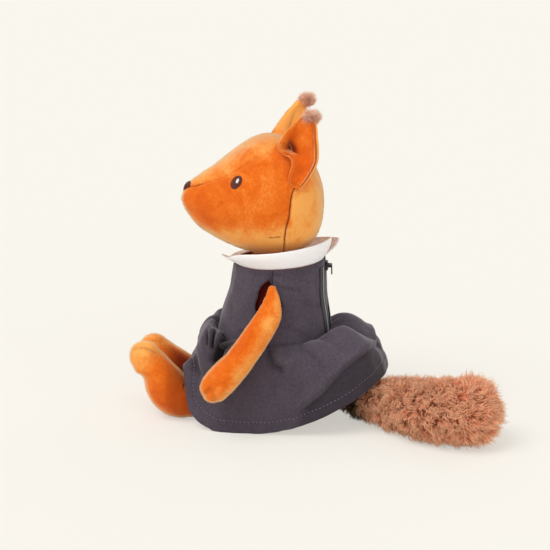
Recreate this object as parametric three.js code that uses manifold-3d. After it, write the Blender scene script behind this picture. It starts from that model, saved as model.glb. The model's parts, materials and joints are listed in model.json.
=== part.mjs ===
// A seated plush squirrel in a pinafore dress, built as its separate sewn pieces.
// Millimetres. It faces -Y, its left side is +X and Z is up. The origin is the centre
// of the flat seat under the torso.
import * as THREE from "three";
import { mergeVertices } from "three/addons/utils/BufferGeometryUtils.js";
import Module from "manifold-3d";

const wasm = await Module();
wasm.setup();

// Cloth, pile fabric and clearances
const GAP = 0.3; // between pieces that touch
const PLUSH = 1.6; // pile fabric of the skins
const CLOTH = 1.2; // lined cotton of the dress
const COLLAR_CLOTH = 1.0;
const SEAT_CUT = 0.5; // how deep the pieces that rest are pressed flat
const SEAM_OPENING = 3.5; // radius of the opening that a limb is filled through

// Torso
const SEAT_HALF_DEPTH = 31;
const SEAT_HALF_WIDTH = 29;
const HIP_HEIGHT = 34;
const HIP_HALF_DEPTH = 44.2;
const HIP_HALF_WIDTH = 43;
const HIP_CENTRE = 4;
const TORSO_ROUND = 2.1; // exponent of its sections
const TORSO_SIDES = 28;
const SHOULDER_START = 120; // height at which the shoulders round in
const NECK_DISC = 16; // radius of the flat that the head is sewn to
const ZIP_ROOM = 3; // space behind the torso for the zip's inner side

// Bodice
const WAIST_HEIGHT = 67.5;
const WAIST_TILT = 1.5; // the waist seam is higher behind
const WAIST_HALF_DEPTH = 43.7;
const WAIST_HALF_WIDTH = 41.6;
const WAIST_CENTRE = 4.7;
const NECKLINE_HEIGHT = 126;
const NECKLINE_TILT = 2.5; // the neckline is higher behind
const NECKLINE_HALF_DEPTH = 36.9;
const NECKLINE_HALF_WIDTH = 34.2;
const NECKLINE_CENTRE = 9.7;
const BODICE_OPENING = 3.5; // from the centre of the back to each back panel, at the neckline
const ARMHOLE_CENTRE_Y = 6;
const ARMHOLE_CENTRE_Z = 98;
const ARMHOLE_RADIUS = 11;
const ARMHOLE_TOP = 118.5;

// Skirt: three rings below the waist, each with its plan and its heights
const SKIRT_BACK_ROUND = 2.6; // exponent of its plan behind; in front each ring has its own
const PUFF_ROUND = 2.7;
const PUFF_HALF_WIDTH = 45;
const PUFF_FRONT = -45;
const PUFF_BACK = 63;
const PUFF_HEIGHTS = [[0, 78], [30, 77], [60, 70], [90, 63], [135, 69], [158, 78], [172, 73], [180, 66]];
const BELLY_ROUND = 3.2;
const BELLY_HALF_WIDTH = 50;
const BELLY_FRONT = -53;
const BELLY_BACK = 83.5;
const BELLY_HEIGHTS = [[0, 62], [27, 60], [45, 50], [90, 42], [135, 55], [160, 65], [180, 61]];
const LOW_ROUND = 5;
const LOW_HALF_WIDTH = 52.5;
const LOW_FRONT = -59;
const LOW_BACK = 90;
const LOW_HEIGHTS = [
  [0, 50], [20, 54], [27, 44], [33, 30], [45, 20], [90, 18], [120, 28], [146, 42], [160, 52], [180, 59],
];
const HEM_ROUND = 5.5;
const HEM_HALF_WIDTH = 51.5;
const HEM_FRONT = -64.5;
const HEM_BACK = 95.5;
const HEM_REST = 0.35; // lowest height of the hem
const HEM_HEIGHTS = [
  [0, 38], [12, 42], [22, 43], [26, 34], [31, 15.5], [34, 10.5], [37, 6.5], [40, 3.8], [43, 2],
  [47, HEM_REST],
  [74, 0.8], [94, 4.1], [107, 8.1], [119, 13.4], [131, 20], [146, 29], [160, 39], [170, 46], [180, 48],
];
const GATHERS = 14; // gathered folds around the waist
const GATHER_DEPTH = 1.5;
const FRONT_FOLD_DEPTH = 4.5; // the deep fold on each side of the lap
const FRONT_FOLD_ANGLE = 42;
const SKIRT_FRONT_STEPS = 32;
const SKIRT_BACK_STEPS = 16; // for each of the two back panels
const SKIRT_DOWN_STEPS = 8;

// Collar
const COLLAR_FLARE = 7.5; // how far its edge stands out beyond the neckline
const COLLAR_BACK_FLARE = 3.5;
const COLLAR_FRONT_RISE = 4;
const COLLAR_CHEEK_RISE = 10;
const COLLAR_SIDE_RISE = 15;
const COLLAR_BACK_RISE = 17;
const COLLAR_SPLIT_FRONT = 2.5; // degrees from the centre to each half, in front
const COLLAR_SPLIT_BACK = 6.5;

// Zip, in its own line: along the back, out of the back, across
const ZIP_TAPE_WIDTH = 5.2;
const ZIP_SINK = 0.5; // how far the tapes lie inside the back panels' inner side
const ZIP_TAPE_THICKNESS = 0.6;
const ZIP_SLOT = 0.6; // half the slot between the two coils
const ZIP_COIL_WIDTH = 1.3;
const ZIP_COIL_HEIGHT = 1.2;
const ZIP_TOP_MARGIN = 2;
const ZIP_BOTTOM_MARGIN = 3;
const ZIP_STOP_LENGTH = 2;
const SLIDER_LENGTH = 7;
const SLIDER_PLATE = 0.9;
const SLIDER_WALL = 0.5;
const SLIDER_LUG_HEIGHT = 2.9;
const SLIDER_LUG_LENGTH = 2.4;
const PULL_LENGTH = 7;
const PULL_WIDTH = 3.2;
const PULL_THICKNESS = 0.8;
const PULL_PIN_RADIUS = 0.5;
const PULL_EYE_WALL = 0.6;

// Head, measured from the centre of the neck disc before it is turned
const NECK_Y = 9;
const NECK_HEIGHT = 130;
const NECK_RADIUS = 13;
const HEAD_TURN = 14; // degrees towards its left
const HEAD_ROUND = 2.2;
const HEAD_SIDES = 28;
const HEAD_STATIONS = 17;
const CROWN_LINE = [
  [-76, 46], [-73.6, 53], [-68.6, 59.6], [-61, 64.9], [-50, 71.6], [-43.9, 76.2], [-31.6, 85], [-19.4, 92.2],
  [-7, 95], [5, 92], [16, 84.6], [25, 75], [30.5, 62], [33.2, 44],
];
const JAW_LINE = [
  [-76, 46], [-73.8, 39.4], [-69.3, 32], [-63.3, 24.8], [-57.3, 20.2], [-45.1, 12.8], [-32, 7], [-15, 2.4],
  [-2, 1.4], [9, 3], [18, 6.5], [26, 13], [31, 24], [33.2, 44],
];
const CHEEK_LINE = [
  [-76, 0], [-74, 6.5], [-68, 12.5], [-58, 19.5], [-46, 27], [-30, 36], [-14, 42], [2, 44.5],
  [15, 42], [25, 34.5], [31, 20], [33.2, 0],
];

// Eyes and nose, on the face
const EYE_Y = -35.4;
const EYE_Z = 62.6;
const EYE_FACING = [0.72, -0.53, 0.44];
const EYE_HALF_WIDTH = 4.3;
const EYE_HALF_HEIGHT = 5.6;
const EYE_LEAN = 32; // degrees, its top leans back
const EMBROIDERY = 0.9;
const GLINT_RADIUS = 1.5;
const GLINT_THREAD = 0.5;
const NOSE_Y = -70.6;
const NOSE_Z = 55.6;
const NOSE_FACING = [0, -0.74, 0.67];
const NOSE_HALF_WIDTH = 4.8;
const NOSE_HEIGHT = 7.6;

// Ears, from the neck centre, on the left side
const EAR_FRONT_EDGE = [
  [43, 4.5, 61], [44, 2.5, 67], [40.5, 4, 75], [35, 0.5, 83], [31, -4, 89], [30.5, -2.8, 95], [31, 3, 102],
  [32, 10.5, 110], [33.5, 16, 115],
];
const EAR_BACK_EDGE = [
  [46.5, 9.5, 60], [48, 14, 66], [49, 18.5, 73], [49, 22.4, 81], [48, 23.2, 89], [45.5, 22.8, 98],
  [41.5, 23, 105.5], [37.5, 21.5, 112], [34.2, 18, 115.8],
];
const EAR_FACING = [0.82, -0.55, 0.12];
const EAR_CUP = 7.5;
const EAR_BACK_CLOTH = 1.4;
const EAR_LINING_CLOTH = 1.1;
const EAR_LINING_INSET = 0.05;
const EAR_LAYER_GAP = 0.4;
const TUFT_CENTRE = [36, 23.5, 112.8];
const TUFT_HALF_WIDTH = 4.6;
const TUFT_HALF_DEPTH = 6.4;
const TUFT_HALF_HEIGHT = 5.8;

// Arms, on the left side
const SHOULDER_Y = 7.5;
const SHOULDER_Z = 106.5;
const ARM_STUB_RADIUS = 4.6;
const ARM_PATH = [
  [40.6, 9.3, 113.5], [42.2, 9.6, 105], [46.6, 7.2, 93], [54.2, -3.6, 75], [59.6, -12.5, 62],
  [64, -22.4, 50.6], [66.2, -31.2, 41],
];
const ARM_HALF_WIDTHS = [3.4, 6.6, 10, 11, 11.4, 12.4, 11.8];
const ARM_HALF_THICKNESSES = [2.2, 3.4, 5.6, 8.6, 10.2, 11.8, 11.6];

// Legs, on the left side
const HIP_X = 22;
const HIP_Y = -45.4;
const HIP_Z = 13.2;
const LEG_PATH = [
  [HIP_X, HIP_Y, HIP_Z], [22.6, -57.5, 15.6], [24, -70.4, 18.4], [25.4, -80.6, 30.5], [26.4, -89, 42.8],
  [27, -94, 50.6],
];
const RIGHT_FOOT_LEAN = 12; // degrees that the right foot leans further forward
const RIGHT_LEG_TURN = 10; // degrees that the right leg turns towards the left one
const RIGHT_FOOT_REACH = 0.9; // its length beyond the heel, as a share of the left foot's
const LEG_HALF_HEIGHTS = [12.6, 15.9, 18.2, 16.6, 14, 12.6];
const LEG_HALF_WIDTHS = [12.6, 14.6, 15.4, 15.2, 14, 12.6];

// Tail
const TAIL_ROOT_Z = 15;
const TAIL_ROOT_RADIUS = 9;
const TAIL_PATH = [
  [6, 70, 15.3], [14, 86, 17.2], [24.5, 104, 19.7], [38, 121, 22], [46, 138, 24.4], [47.5, 157, 25],
];
const TAIL_RADII = [10.5, 15.8, 20, 22.4, 24.9, 25.5];

// Filling
const PELLET_BAG_TOP = 21;

// Materials
const ORANGE_VELOUR = 0xe0742a;
const DARK_VELOUR = 0xc65c1c;
const BROWN_FUR = 0xa56e5a;
const PINK_BROWN_FUR = 0xc39080;
const CHARCOAL_COTTON = 0x55505a;
const WHITE_COTTON = 0xf6f4f6;
const BLACK_TAPE = 0x2c292e;
const GREY_COIL = 0x6c6a70;
const DARK_METAL = 0x35333a;
const WHITE_FILLING = 0xf1eee6;
const PELLET_CLOTH = 0xe2dccb;
const BROWN_THREAD = 0x4a2420;
const WHITE_THREAD = 0xfbfaf7;

const LEFT = 1;
const RIGHT = -1;
const DEGREE = Math.PI / 180;
const THROUGH = 60; // length of a cutter that goes right through
const BEYOND = 400; // further than any part of the squirrel reaches
const LEFT_ANGLE = 90; // degrees round the body from its front, towards its left side
const BACK_ANGLE = 180;
const RIGHT_ANGLE = 270;

// Solids

function toSolid(geometry) {
  const bare = geometry.clone();
  bare.deleteAttribute("normal");
  bare.deleteAttribute("uv");
  const merged = mergeVertices(bare, 1e-4);
  const solid = new wasm.Manifold(new wasm.Mesh({
    numProp: 3,
    vertProperties: new Float32Array(merged.attributes.position.array),
    triVerts: new Uint32Array(merged.index.array),
  }));
  return solid;
}

function toGeometry(solid) {
  const mesh = solid.getMesh();
  const geometry = new THREE.BufferGeometry();
  geometry.setAttribute("position", new THREE.BufferAttribute(new Float32Array(mesh.vertProperties), 3));
  geometry.setIndex(new THREE.BufferAttribute(new Uint32Array(mesh.triVerts), 1));
  geometry.computeVertexNormals();
  return geometry;
}

function signedVolume(points, index) {
  let volume = 0;
  for (let i = 0; i < index.length; i += 3) {
    const a = points[index[i]];
    const b = points[index[i + 1]];
    const c = points[index[i + 2]];
    volume += a.dot(new THREE.Vector3().crossVectors(b, c)) / 6;
  }
  return volume;
}

// A closed mesh from points and triangles, turned so that its faces point out.
function closedGeometry(points, index) {
  const outward = signedVolume(points, index) > 0 ? index : index.slice().reverse();
  const geometry = new THREE.BufferGeometry().setFromPoints(points);
  geometry.setIndex(outward);
  return geometry;
}

// A closed body through a row of rings that have the same number of points.
function loftGeometry(rings) {
  const count = rings[0].length;
  const points = rings.flat();
  const index = [];
  for (let ring = 0; ring + 1 < rings.length; ring += 1) {
    for (let i = 0; i < count; i += 1) {
      const a = ring * count + i;
      const b = ring * count + (i + 1) % count;
      index.push(a, b, a + count, b, b + count, a + count);
    }
  }
  const last = (rings.length - 1) * count;
  const startCentre = points.push(centreOf(rings[0])) - 1;
  const endCentre = points.push(centreOf(rings[rings.length - 1])) - 1;
  for (let i = 0; i < count; i += 1) {
    const next = (i + 1) % count;
    index.push(startCentre, next, i);
    index.push(endCentre, last + i, last + next);
  }
  return closedGeometry(points, index);
}

function centreOf(ring) {
  const sum = new THREE.Vector3();
  ring.forEach((point) => sum.add(point));
  return sum.divideScalar(ring.length);
}

// A sheet of cloth beside the surface that at(u, v) gives. Its two sides lie at the distances
// from and to along the surface's normal, which is the cross product of the u and v directions.
function sheetGeometry({ at, stepsU, stepsV, from = 0, to, closed = false }) {
  const columns = closed ? stepsU : stepsU + 1;
  const rows = stepsV + 1;
  const surface = [];
  for (let row = 0; row < rows; row += 1) {
    for (let column = 0; column < columns; column += 1) {
      surface.push(at(column / stepsU, row / stepsV));
    }
  }
  const vertex = (column, row) => row * columns + (closed ? (column + columns) % columns : column);
  const clamp = (value, top) => Math.min(Math.max(value, 0), top);
  const normals = surface.map((point, i) => {
    const row = Math.floor(i / columns);
    const column = i % columns;
    const before = surface[closed ? vertex(column - 1, row) : vertex(clamp(column - 1, columns - 1), row)];
    const after = surface[closed ? vertex(column + 1, row) : vertex(clamp(column + 1, columns - 1), row)];
    const alongU = after.clone().sub(before);
    const alongV = surface[vertex(column, clamp(row + 1, rows - 1))].clone()
      .sub(surface[vertex(column, clamp(row - 1, rows - 1))]);
    return alongU.cross(alongV).normalize();
  });
  const side = (distance) => surface.map((point, i) => point.clone().addScaledVector(normals[i], distance));
  const points = side(from).concat(side(to));
  const offset = surface.length;
  const index = [];
  const quad = (a, b, c, d) => index.push(a, b, c, a, c, d);
  const lastColumn = closed ? columns : columns - 1;
  for (let row = 0; row + 1 < rows; row += 1) {
    for (let column = 0; column < lastColumn; column += 1) {
      const a = vertex(column, row);
      const b = vertex(column + 1, row);
      const c = vertex(column + 1, row + 1);
      const d = vertex(column, row + 1);
      quad(a, b, c, d);
      quad(a + offset, d + offset, c + offset, b + offset);
    }
  }
  for (let column = 0; column < lastColumn; column += 1) {
    const a = vertex(column, 0);
    const b = vertex(column + 1, 0);
    quad(b, a, a + offset, b + offset);
    const c = vertex(column, rows - 1);
    const d = vertex(column + 1, rows - 1);
    quad(c, d, d + offset, c + offset);
  }
  if (!closed) {
    for (let row = 0; row + 1 < rows; row += 1) {
      const a = vertex(0, row);
      const b = vertex(0, row + 1);
      quad(a, b, b + offset, a + offset);
      const c = vertex(columns - 1, row);
      const d = vertex(columns - 1, row + 1);
      quad(d, c, c + offset, d + offset);
    }
  }
  return closedGeometry(points, index);
}

function signedPower(value, power) {
  return Math.sign(value) * Math.abs(value) ** power;
}

// A point of a rounded plan outline. The angle is 0 in front and 90 on the left side.
function planPoint(degrees, centreY, halfDepth, halfWidth, z, round) {
  const power = 2 / round;
  const x = halfWidth * signedPower(Math.sin(degrees * DEGREE), power);
  const y = centreY - halfDepth * signedPower(Math.cos(degrees * DEGREE), power);
  return new THREE.Vector3(x, y, z);
}

// The height on a line of [position, height] points, smooth between them.
function lineThrough(points) {
  const curve = new THREE.SplineCurve(points.map(([a, b]) => new THREE.Vector2(a, b)));
  const samples = curve.getPoints(points.length * 12);
  return (position) => {
    const next = samples.findIndex((sample) => sample.x >= position);
    if (next <= 0) return next === 0 ? samples[0].y : samples[samples.length - 1].y;
    const before = samples[next - 1];
    const after = samples[next];
    const share = (position - before.x) / Math.max(after.x - before.x, 1e-6);
    return before.y + (after.y - before.y) * share;
  };
}

// The same, for angles that mirror from the left side to the right side.
function mirroredHeights(points) {
  const height = lineThrough(points);
  return (degrees) => {
    const turn = ((degrees % 360) + 360) % 360;
    return height(turn > 180 ? 360 - turn : turn);
  };
}

// A copy that is smaller by the same clearance at each end of its length, width and height.
function shrunkCopy(solid, clearance) {
  const { min, max } = solid.boundingBox();
  const centre = min.map((value, i) => (value + max[i]) / 2);
  const scale = min.map((value, i) => 1 - (2 * clearance) / (max[i] - value));
  return solid.translate(centre.map((value) => -value)).scale(scale).translate(centre);
}

function boxSolid(low, high) {
  const size = high.map((value, i) => value - low[i]);
  const geometry = new THREE.BoxGeometry(...size);
  geometry.translate(...low.map((value, i) => value + size[i] / 2));
  return toSolid(geometry);
}

// A cylinder between two points.
function rodSolid(from, to, radius, sides = 20) {
  const start = new THREE.Vector3(...from);
  const end = new THREE.Vector3(...to);
  const geometry = new THREE.CylinderGeometry(radius, radius, start.distanceTo(end), sides);
  const along = end.clone().sub(start).normalize();
  geometry.applyQuaternion(new THREE.Quaternion().setFromUnitVectors(new THREE.Vector3(0, 1, 0), along));
  const middle = start.add(end).multiplyScalar(0.5);
  geometry.translate(middle.x, middle.y, middle.z);
  return toSolid(geometry);
}

// A stuffed tube along a path. Each station of the path has a half height in the plane of
// the bend and a half width across it. Both ends are rounded.
function stuffedTube({ path, heights, widths, across, shrink = 0, sides, steps, tipSteps = 3 }) {
  const curve = new THREE.CatmullRomCurve3(path.map((point) => new THREE.Vector3(...point)));
  const last = path.length - 1;
  const station = (t) => {
    const place = t * last;
    const index = Math.min(Math.floor(place), last - 1);
    const share = place - index;
    const smooth = share * share * (3 - 2 * share);
    const mix = (values) => values[index] + (values[index + 1] - values[index]) * smooth;
    return [mix(heights) - shrink, mix(widths) - shrink];
  };
  const ringAt = (t, outward, scale) => {
    const tangent = curve.getTangent(t);
    const side = across.clone().addScaledVector(tangent, -across.dot(tangent)).normalize();
    const up = new THREE.Vector3().crossVectors(side, tangent).normalize();
    const [halfHeight, halfWidth] = station(t);
    const reach = Math.min(halfHeight, halfWidth) * outward;
    const centre = curve.getPoint(t).addScaledVector(tangent, reach);
    const ring = [];
    for (let i = 0; i < sides; i += 1) {
      const turn = (i / sides) * 2 * Math.PI;
      ring.push(centre.clone()
        .addScaledVector(side, halfWidth * scale * Math.cos(turn))
        .addScaledVector(up, halfHeight * scale * Math.sin(turn)));
    }
    return ring;
  };
  const rings = [];
  for (let i = 0; i < tipSteps; i += 1) {
    const turn = ((i + 0.25) / tipSteps) * 90 * DEGREE;
    rings.push(ringAt(0, -Math.cos(turn), Math.sin(turn)));
  }
  for (let i = 0; i <= steps; i += 1) {
    rings.push(ringAt(i / steps, 0, 1));
  }
  for (let i = tipSteps - 1; i >= 0; i -= 1) {
    const turn = ((i + 0.25) / tipSteps) * 90 * DEGREE;
    rings.push(ringAt(1, Math.cos(turn), Math.sin(turn)));
  }
  return toSolid(loftGeometry(rings));
}

const aboveSeat = boxSolid([-BEYOND, -BEYOND, 0], [BEYOND, BEYOND, BEYOND]);

// Bodice and torso

function bodiceRing(height) {
  const share = (height - WAIST_HEIGHT) / (NECKLINE_HEIGHT - WAIST_HEIGHT);
  const mix = (low, high) => low + (high - low) * share;
  return {
    centre: mix(WAIST_CENTRE, NECKLINE_CENTRE),
    halfDepth: mix(WAIST_HALF_DEPTH, NECKLINE_HALF_DEPTH),
    halfWidth: mix(WAIST_HALF_WIDTH, NECKLINE_HALF_WIDTH),
  };
}

function waistHeight(degrees) {
  return WAIST_HEIGHT - WAIST_TILT * Math.cos(degrees * DEGREE);
}

function necklineHeight(degrees) {
  return NECKLINE_HEIGHT - NECKLINE_TILT * Math.cos(degrees * DEGREE);
}

function bodicePoint(degrees, height, out = 0) {
  const ring = bodiceRing(height);
  return planPoint(degrees, ring.centre, ring.halfDepth + out, ring.halfWidth + out, height, TORSO_ROUND);
}

// The section of the torso at a height. The bodice lies on its front and sides.
function torsoRing(height) {
  const fitted = bodiceRing(Math.max(height, WAIST_HEIGHT));
  const inside = CLOTH + GAP;
  let centre = fitted.centre;
  let halfDepth = fitted.halfDepth - inside;
  let halfWidth = fitted.halfWidth - inside;
  let backRoom = ZIP_ROOM;
  if (height < WAIST_HEIGHT) {
    const share = Math.min(1, (WAIST_HEIGHT - height) / (WAIST_HEIGHT - HIP_HEIGHT));
    const smooth = share * share * (3 - 2 * share);
    centre += (HIP_CENTRE - centre) * smooth;
    halfDepth += (HIP_HALF_DEPTH - CLOTH - halfDepth) * smooth;
    halfWidth += (HIP_HALF_WIDTH - CLOTH - halfWidth) * smooth;
    backRoom *= 1 - smooth;
  }
  if (height < HIP_HEIGHT) {
    const round = Math.sqrt(1 - ((HIP_HEIGHT - height) / (HIP_HEIGHT + SEAT_CUT)) ** 2);
    halfDepth = SEAT_HALF_DEPTH + (halfDepth - SEAT_HALF_DEPTH) * round;
    halfWidth = SEAT_HALF_WIDTH + (halfWidth - SEAT_HALF_WIDTH) * round;
  }
  return { centre, halfDepth, halfWidth, backRoom };
}

function torsoSolid(shrink, sides) {
  const top = NECK_HEIGHT - GAP - shrink;
  const ringPoints = (height, ring) => {
    const points = [];
    const depth = ring.halfDepth - shrink;
    const width = ring.halfWidth - shrink;
    for (let i = 0; i < sides; i += 1) {
      const point = planPoint((i / sides) * 360, ring.centre, depth, width, height, TORSO_ROUND);
      const behind = Math.max(0, point.y - ring.centre) / depth;
      points.push(point.setY(point.y - ring.backRoom * behind));
    }
    return points;
  };
  const rings = [];
  const bottom = shrink - SEAT_CUT;
  [0, 3, 8, 15, 24].forEach((rise) => rings.push(ringPoints(bottom + rise, torsoRing(rise))));
  [HIP_HEIGHT, 50, WAIST_HEIGHT, 86, 104, SHOULDER_START].forEach((height) => {
    rings.push(ringPoints(height, torsoRing(height)));
  });
  const shoulder = torsoRing(SHOULDER_START);
  const neck = { centre: NECK_Y, halfDepth: NECK_DISC, halfWidth: NECK_DISC, backRoom: 0 };
  [30, 60, 90].forEach((turn) => {
    const closing = 1 - Math.cos(turn * DEGREE);
    const mix = (key) => shoulder[key] + (neck[key] - shoulder[key]) * closing;
    const ring = {
      centre: mix("centre"),
      halfDepth: mix("halfDepth"),
      halfWidth: mix("halfWidth"),
      backRoom: mix("backRoom"),
    };
    rings.push(ringPoints(SHOULDER_START + (top - SHOULDER_START) * Math.sin(turn * DEGREE), ring));
  });
  return toSolid(loftGeometry(rings));
}

const torsoInner = torsoSolid(PLUSH, 16);
const torsoFilling = shrunkCopy(torsoInner, GAP);
const torsoOuter = torsoSolid(0, TORSO_SIDES).intersect(aboveSeat);
const neckOpening = rodSolid(
  [0, NECK_Y, NECK_HEIGHT - 3 * PLUSH], [0, NECK_Y, NECK_HEIGHT + PLUSH], SEAM_OPENING,
);
const shoulderFlat = bodicePoint(90, SHOULDER_Z + ARM_STUB_RADIUS, -CLOTH - GAP).x - GAP;
const shoulderFlats = rodSolid(
  [shoulderFlat, SHOULDER_Y, SHOULDER_Z],
  [THROUGH, SHOULDER_Y, SHOULDER_Z],
  ARM_STUB_RADIUS + GAP,
);
const torsoSkin = torsoOuter
  .subtract(torsoInner)
  .subtract(neckOpening)
  .subtract(shoulderFlats)
  .subtract(shoulderFlats.mirror([1, 0, 0]));
const torsoStuffing = torsoFilling.intersect(
  boxSolid([-BEYOND, -BEYOND, PELLET_BAG_TOP + GAP], [BEYOND, BEYOND, BEYOND]),
);
const pelletBag = torsoFilling.intersect(
  boxSolid([-BEYOND, -BEYOND, PLUSH + GAP], [BEYOND, BEYOND, PELLET_BAG_TOP]),
);

// A teardrop that goes through the side of the bodice, pointed at the top.
function armholeSolid(side) {
  const shape = new THREE.Shape();
  const rise = ARMHOLE_TOP - ARMHOLE_CENTRE_Z;
  const tangent = Math.asin(ARMHOLE_RADIUS / rise);
  shape.absarc(0, 0, ARMHOLE_RADIUS, Math.PI - tangent, 2 * Math.PI + tangent, false);
  shape.lineTo(0, rise);
  shape.closePath();
  const geometry = new THREE.ExtrudeGeometry(
    shape,
    { depth: THROUGH, bevelEnabled: false, curveSegments: 12 },
  );
  geometry.rotateX(90 * DEGREE);
  geometry.rotateZ(90 * DEGREE);
  const start = side > 0 ? 0 : -THROUGH;
  geometry.translate(start, ARMHOLE_CENTRE_Y, ARMHOLE_CENTRE_Z);
  return toSolid(geometry);
}

function bodicePanel(fromDegrees, toDegrees, stepsAround) {
  const geometry = sheetGeometry({
    at: (u, v) => {
      const degrees = fromDegrees + (toDegrees - fromDegrees) * u;
      const top = necklineHeight(degrees);
      return bodicePoint(degrees, top + (waistHeight(degrees) - top) * v);
    },
    stepsU: stepsAround,
    stepsV: 3,
    to: CLOTH,
  });
  return toSolid(geometry);
}

const sideSeamGap = (GAP / 2 / WAIST_HALF_DEPTH) / DEGREE;
const backGap = Math.asin((BODICE_OPENING / NECKLINE_HALF_WIDTH) ** (TORSO_ROUND / 2)) / DEGREE;
const armholes = armholeSolid(LEFT).add(armholeSolid(RIGHT));
const bodiceFront = bodicePanel(-LEFT_ANGLE + sideSeamGap, LEFT_ANGLE - sideSeamGap, 22).subtract(armholes);
const bodiceBackLeft = bodicePanel(LEFT_ANGLE + sideSeamGap, BACK_ANGLE - backGap, 12).subtract(armholes);
const bodiceBackRight = bodicePanel(BACK_ANGLE + backGap, RIGHT_ANGLE - sideSeamGap, 12).subtract(armholes);

// Skirt

const puffHeight = mirroredHeights(PUFF_HEIGHTS);
const bellyHeight = mirroredHeights(BELLY_HEIGHTS);
const lowHeight = mirroredHeights(LOW_HEIGHTS);
const hemHeight = mirroredHeights(HEM_HEIGHTS);

// A point of one of the skirt's rings in the direction of an angle.
function skirtRingPoint(degrees, front, back, halfWidth, frontRound, height) {
  const sideways = Math.sin(degrees * DEGREE);
  const forward = Math.cos(degrees * DEGREE);
  const round = SKIRT_BACK_ROUND + (frontRound - SKIRT_BACK_ROUND) * (0.5 + 0.5 * forward);
  const halfDepth = (back - front) / 2;
  const sum = Math.abs(sideways / halfWidth) ** round + Math.abs(forward / halfDepth) ** round;
  const reach = sum ** (-1 / round);
  return new THREE.Vector3(reach * sideways, (front + back) / 2 - reach * forward, height);
}

// A bell that is 1 at the middle angle and 0 beyond its width, on both sides alike.
function foldBell(degrees, middle, width) {
  const turn = Math.abs(((degrees + 540) % 360) - 180);
  const away = Math.abs(turn - middle) / width;
  return away < 1 ? 0.5 + 0.5 * Math.cos(away * Math.PI) : 0;
}

function skirtPoint(degrees, v) {
  const top = bodicePoint(degrees, waistHeight(degrees) - GAP);
  const line = new THREE.CatmullRomCurve3([
    top,
    skirtRingPoint(degrees, PUFF_FRONT, PUFF_BACK, PUFF_HALF_WIDTH, PUFF_ROUND, puffHeight(degrees)),
    skirtRingPoint(degrees, BELLY_FRONT, BELLY_BACK, BELLY_HALF_WIDTH, BELLY_ROUND, bellyHeight(degrees)),
    skirtRingPoint(degrees, LOW_FRONT, LOW_BACK, LOW_HALF_WIDTH, LOW_ROUND, lowHeight(degrees)),
    skirtRingPoint(degrees, HEM_FRONT, HEM_BACK, HEM_HALF_WIDTH, HEM_ROUND, hemHeight(degrees)),
  ], false, "centripetal");
  const point = line.getPoint(v);
  const outward = new THREE.Vector3(Math.sin(degrees * DEGREE), -Math.cos(degrees * DEGREE), 0);
  const gatherFade = Math.sin(Math.min(1, v * 1.6) * Math.PI);
  const gathered = gatherFade * GATHER_DEPTH * Math.cos(GATHERS * degrees * DEGREE);
  const lapFade = Math.sin(Math.min(1, v * 1.3) * Math.PI);
  const lap = foldBell(degrees, FRONT_FOLD_ANGLE, 9) * lapFade * FRONT_FOLD_DEPTH;
  point.addScaledVector(outward, gathered - lap);
  const bodice = bodicePoint(degrees, Math.max(point.z, HIP_HEIGHT), CLOTH + 2 * GAP);
  const inside = bodice.setZ(0).dot(outward) - point.dot(outward);
  return v > 0 && inside > 0 ? point.addScaledVector(outward, inside) : point;
}

function skirtPanel(fromDegrees, toDegrees, stepsAround) {
  const from = fromDegrees + skirtSeamGap;
  const to = toDegrees - skirtSeamGap;
  return sheetGeometry({
    at: (u, v) => skirtPoint(from + (to - from) * u, v),
    stepsU: stepsAround,
    stepsV: SKIRT_DOWN_STEPS,
    to: CLOTH,
  });
}

const skirtSeamGap = (GAP / 2 / WAIST_HALF_WIDTH) / DEGREE;
const skirtFront = skirtPanel(-LEFT_ANGLE, LEFT_ANGLE, SKIRT_FRONT_STEPS);
const skirtBackLeft = skirtPanel(LEFT_ANGLE, BACK_ANGLE, SKIRT_BACK_STEPS);
const skirtBackRight = skirtPanel(BACK_ANGLE, RIGHT_ANGLE, SKIRT_BACK_STEPS);

// Collar

function collarHalf(side) {
  const rises = lineThrough([
    [0, COLLAR_FRONT_RISE], [50, COLLAR_CHEEK_RISE],
    [LEFT_ANGLE, COLLAR_SIDE_RISE], [BACK_ANGLE, COLLAR_BACK_RISE],
  ]);
  const flares = lineThrough([
    [0, COLLAR_FLARE], [LEFT_ANGLE, COLLAR_FLARE], [BACK_ANGLE, COLLAR_BACK_FLARE],
  ]);
  const geometry = sheetGeometry({
    at: (u, v) => {
      const degrees = COLLAR_SPLIT_FRONT + (BACK_ANGLE - COLLAR_SPLIT_BACK - COLLAR_SPLIT_FRONT) * u;
      const base = bodicePoint(degrees, necklineHeight(degrees) + GAP);
      const outward = new THREE.Vector3(Math.sin(degrees * DEGREE), -Math.cos(degrees * DEGREE), 0);
      base.addScaledVector(outward, flares(degrees) * Math.sin(v * 90 * DEGREE));
      base.z += rises(degrees) * v;
      base.x *= side;
      return base;
    },
    stepsU: 14,
    stepsV: 3,
    to: -side * COLLAR_CLOTH,
  });
  return toSolid(geometry);
}

// Zip. Its group stands at the foot of the zip on the inner side of the bodice's back, with
// z along the zip and y out of the back.

const zipFootHeight = waistHeight(BACK_ANGLE) + ZIP_BOTTOM_MARGIN;
const zipHeadHeight = necklineHeight(BACK_ANGLE) - ZIP_TOP_MARGIN;
const zipFoot = bodicePoint(BACK_ANGLE, zipFootHeight, -CLOTH - ZIP_SINK);
const zipHead = bodicePoint(BACK_ANGLE, zipHeadHeight, -CLOTH - ZIP_SINK);
const zipLength = zipFoot.distanceTo(zipHead);
const zipLean = Math.atan2(zipFoot.y - zipHead.y, zipHead.z - zipFoot.z);
const coilBottom = 0;
const coilTop = coilBottom + ZIP_COIL_HEIGHT;
const tapeTop = coilBottom - GAP;
const tapeBottom = tapeTop - ZIP_TAPE_THICKNESS;

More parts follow.
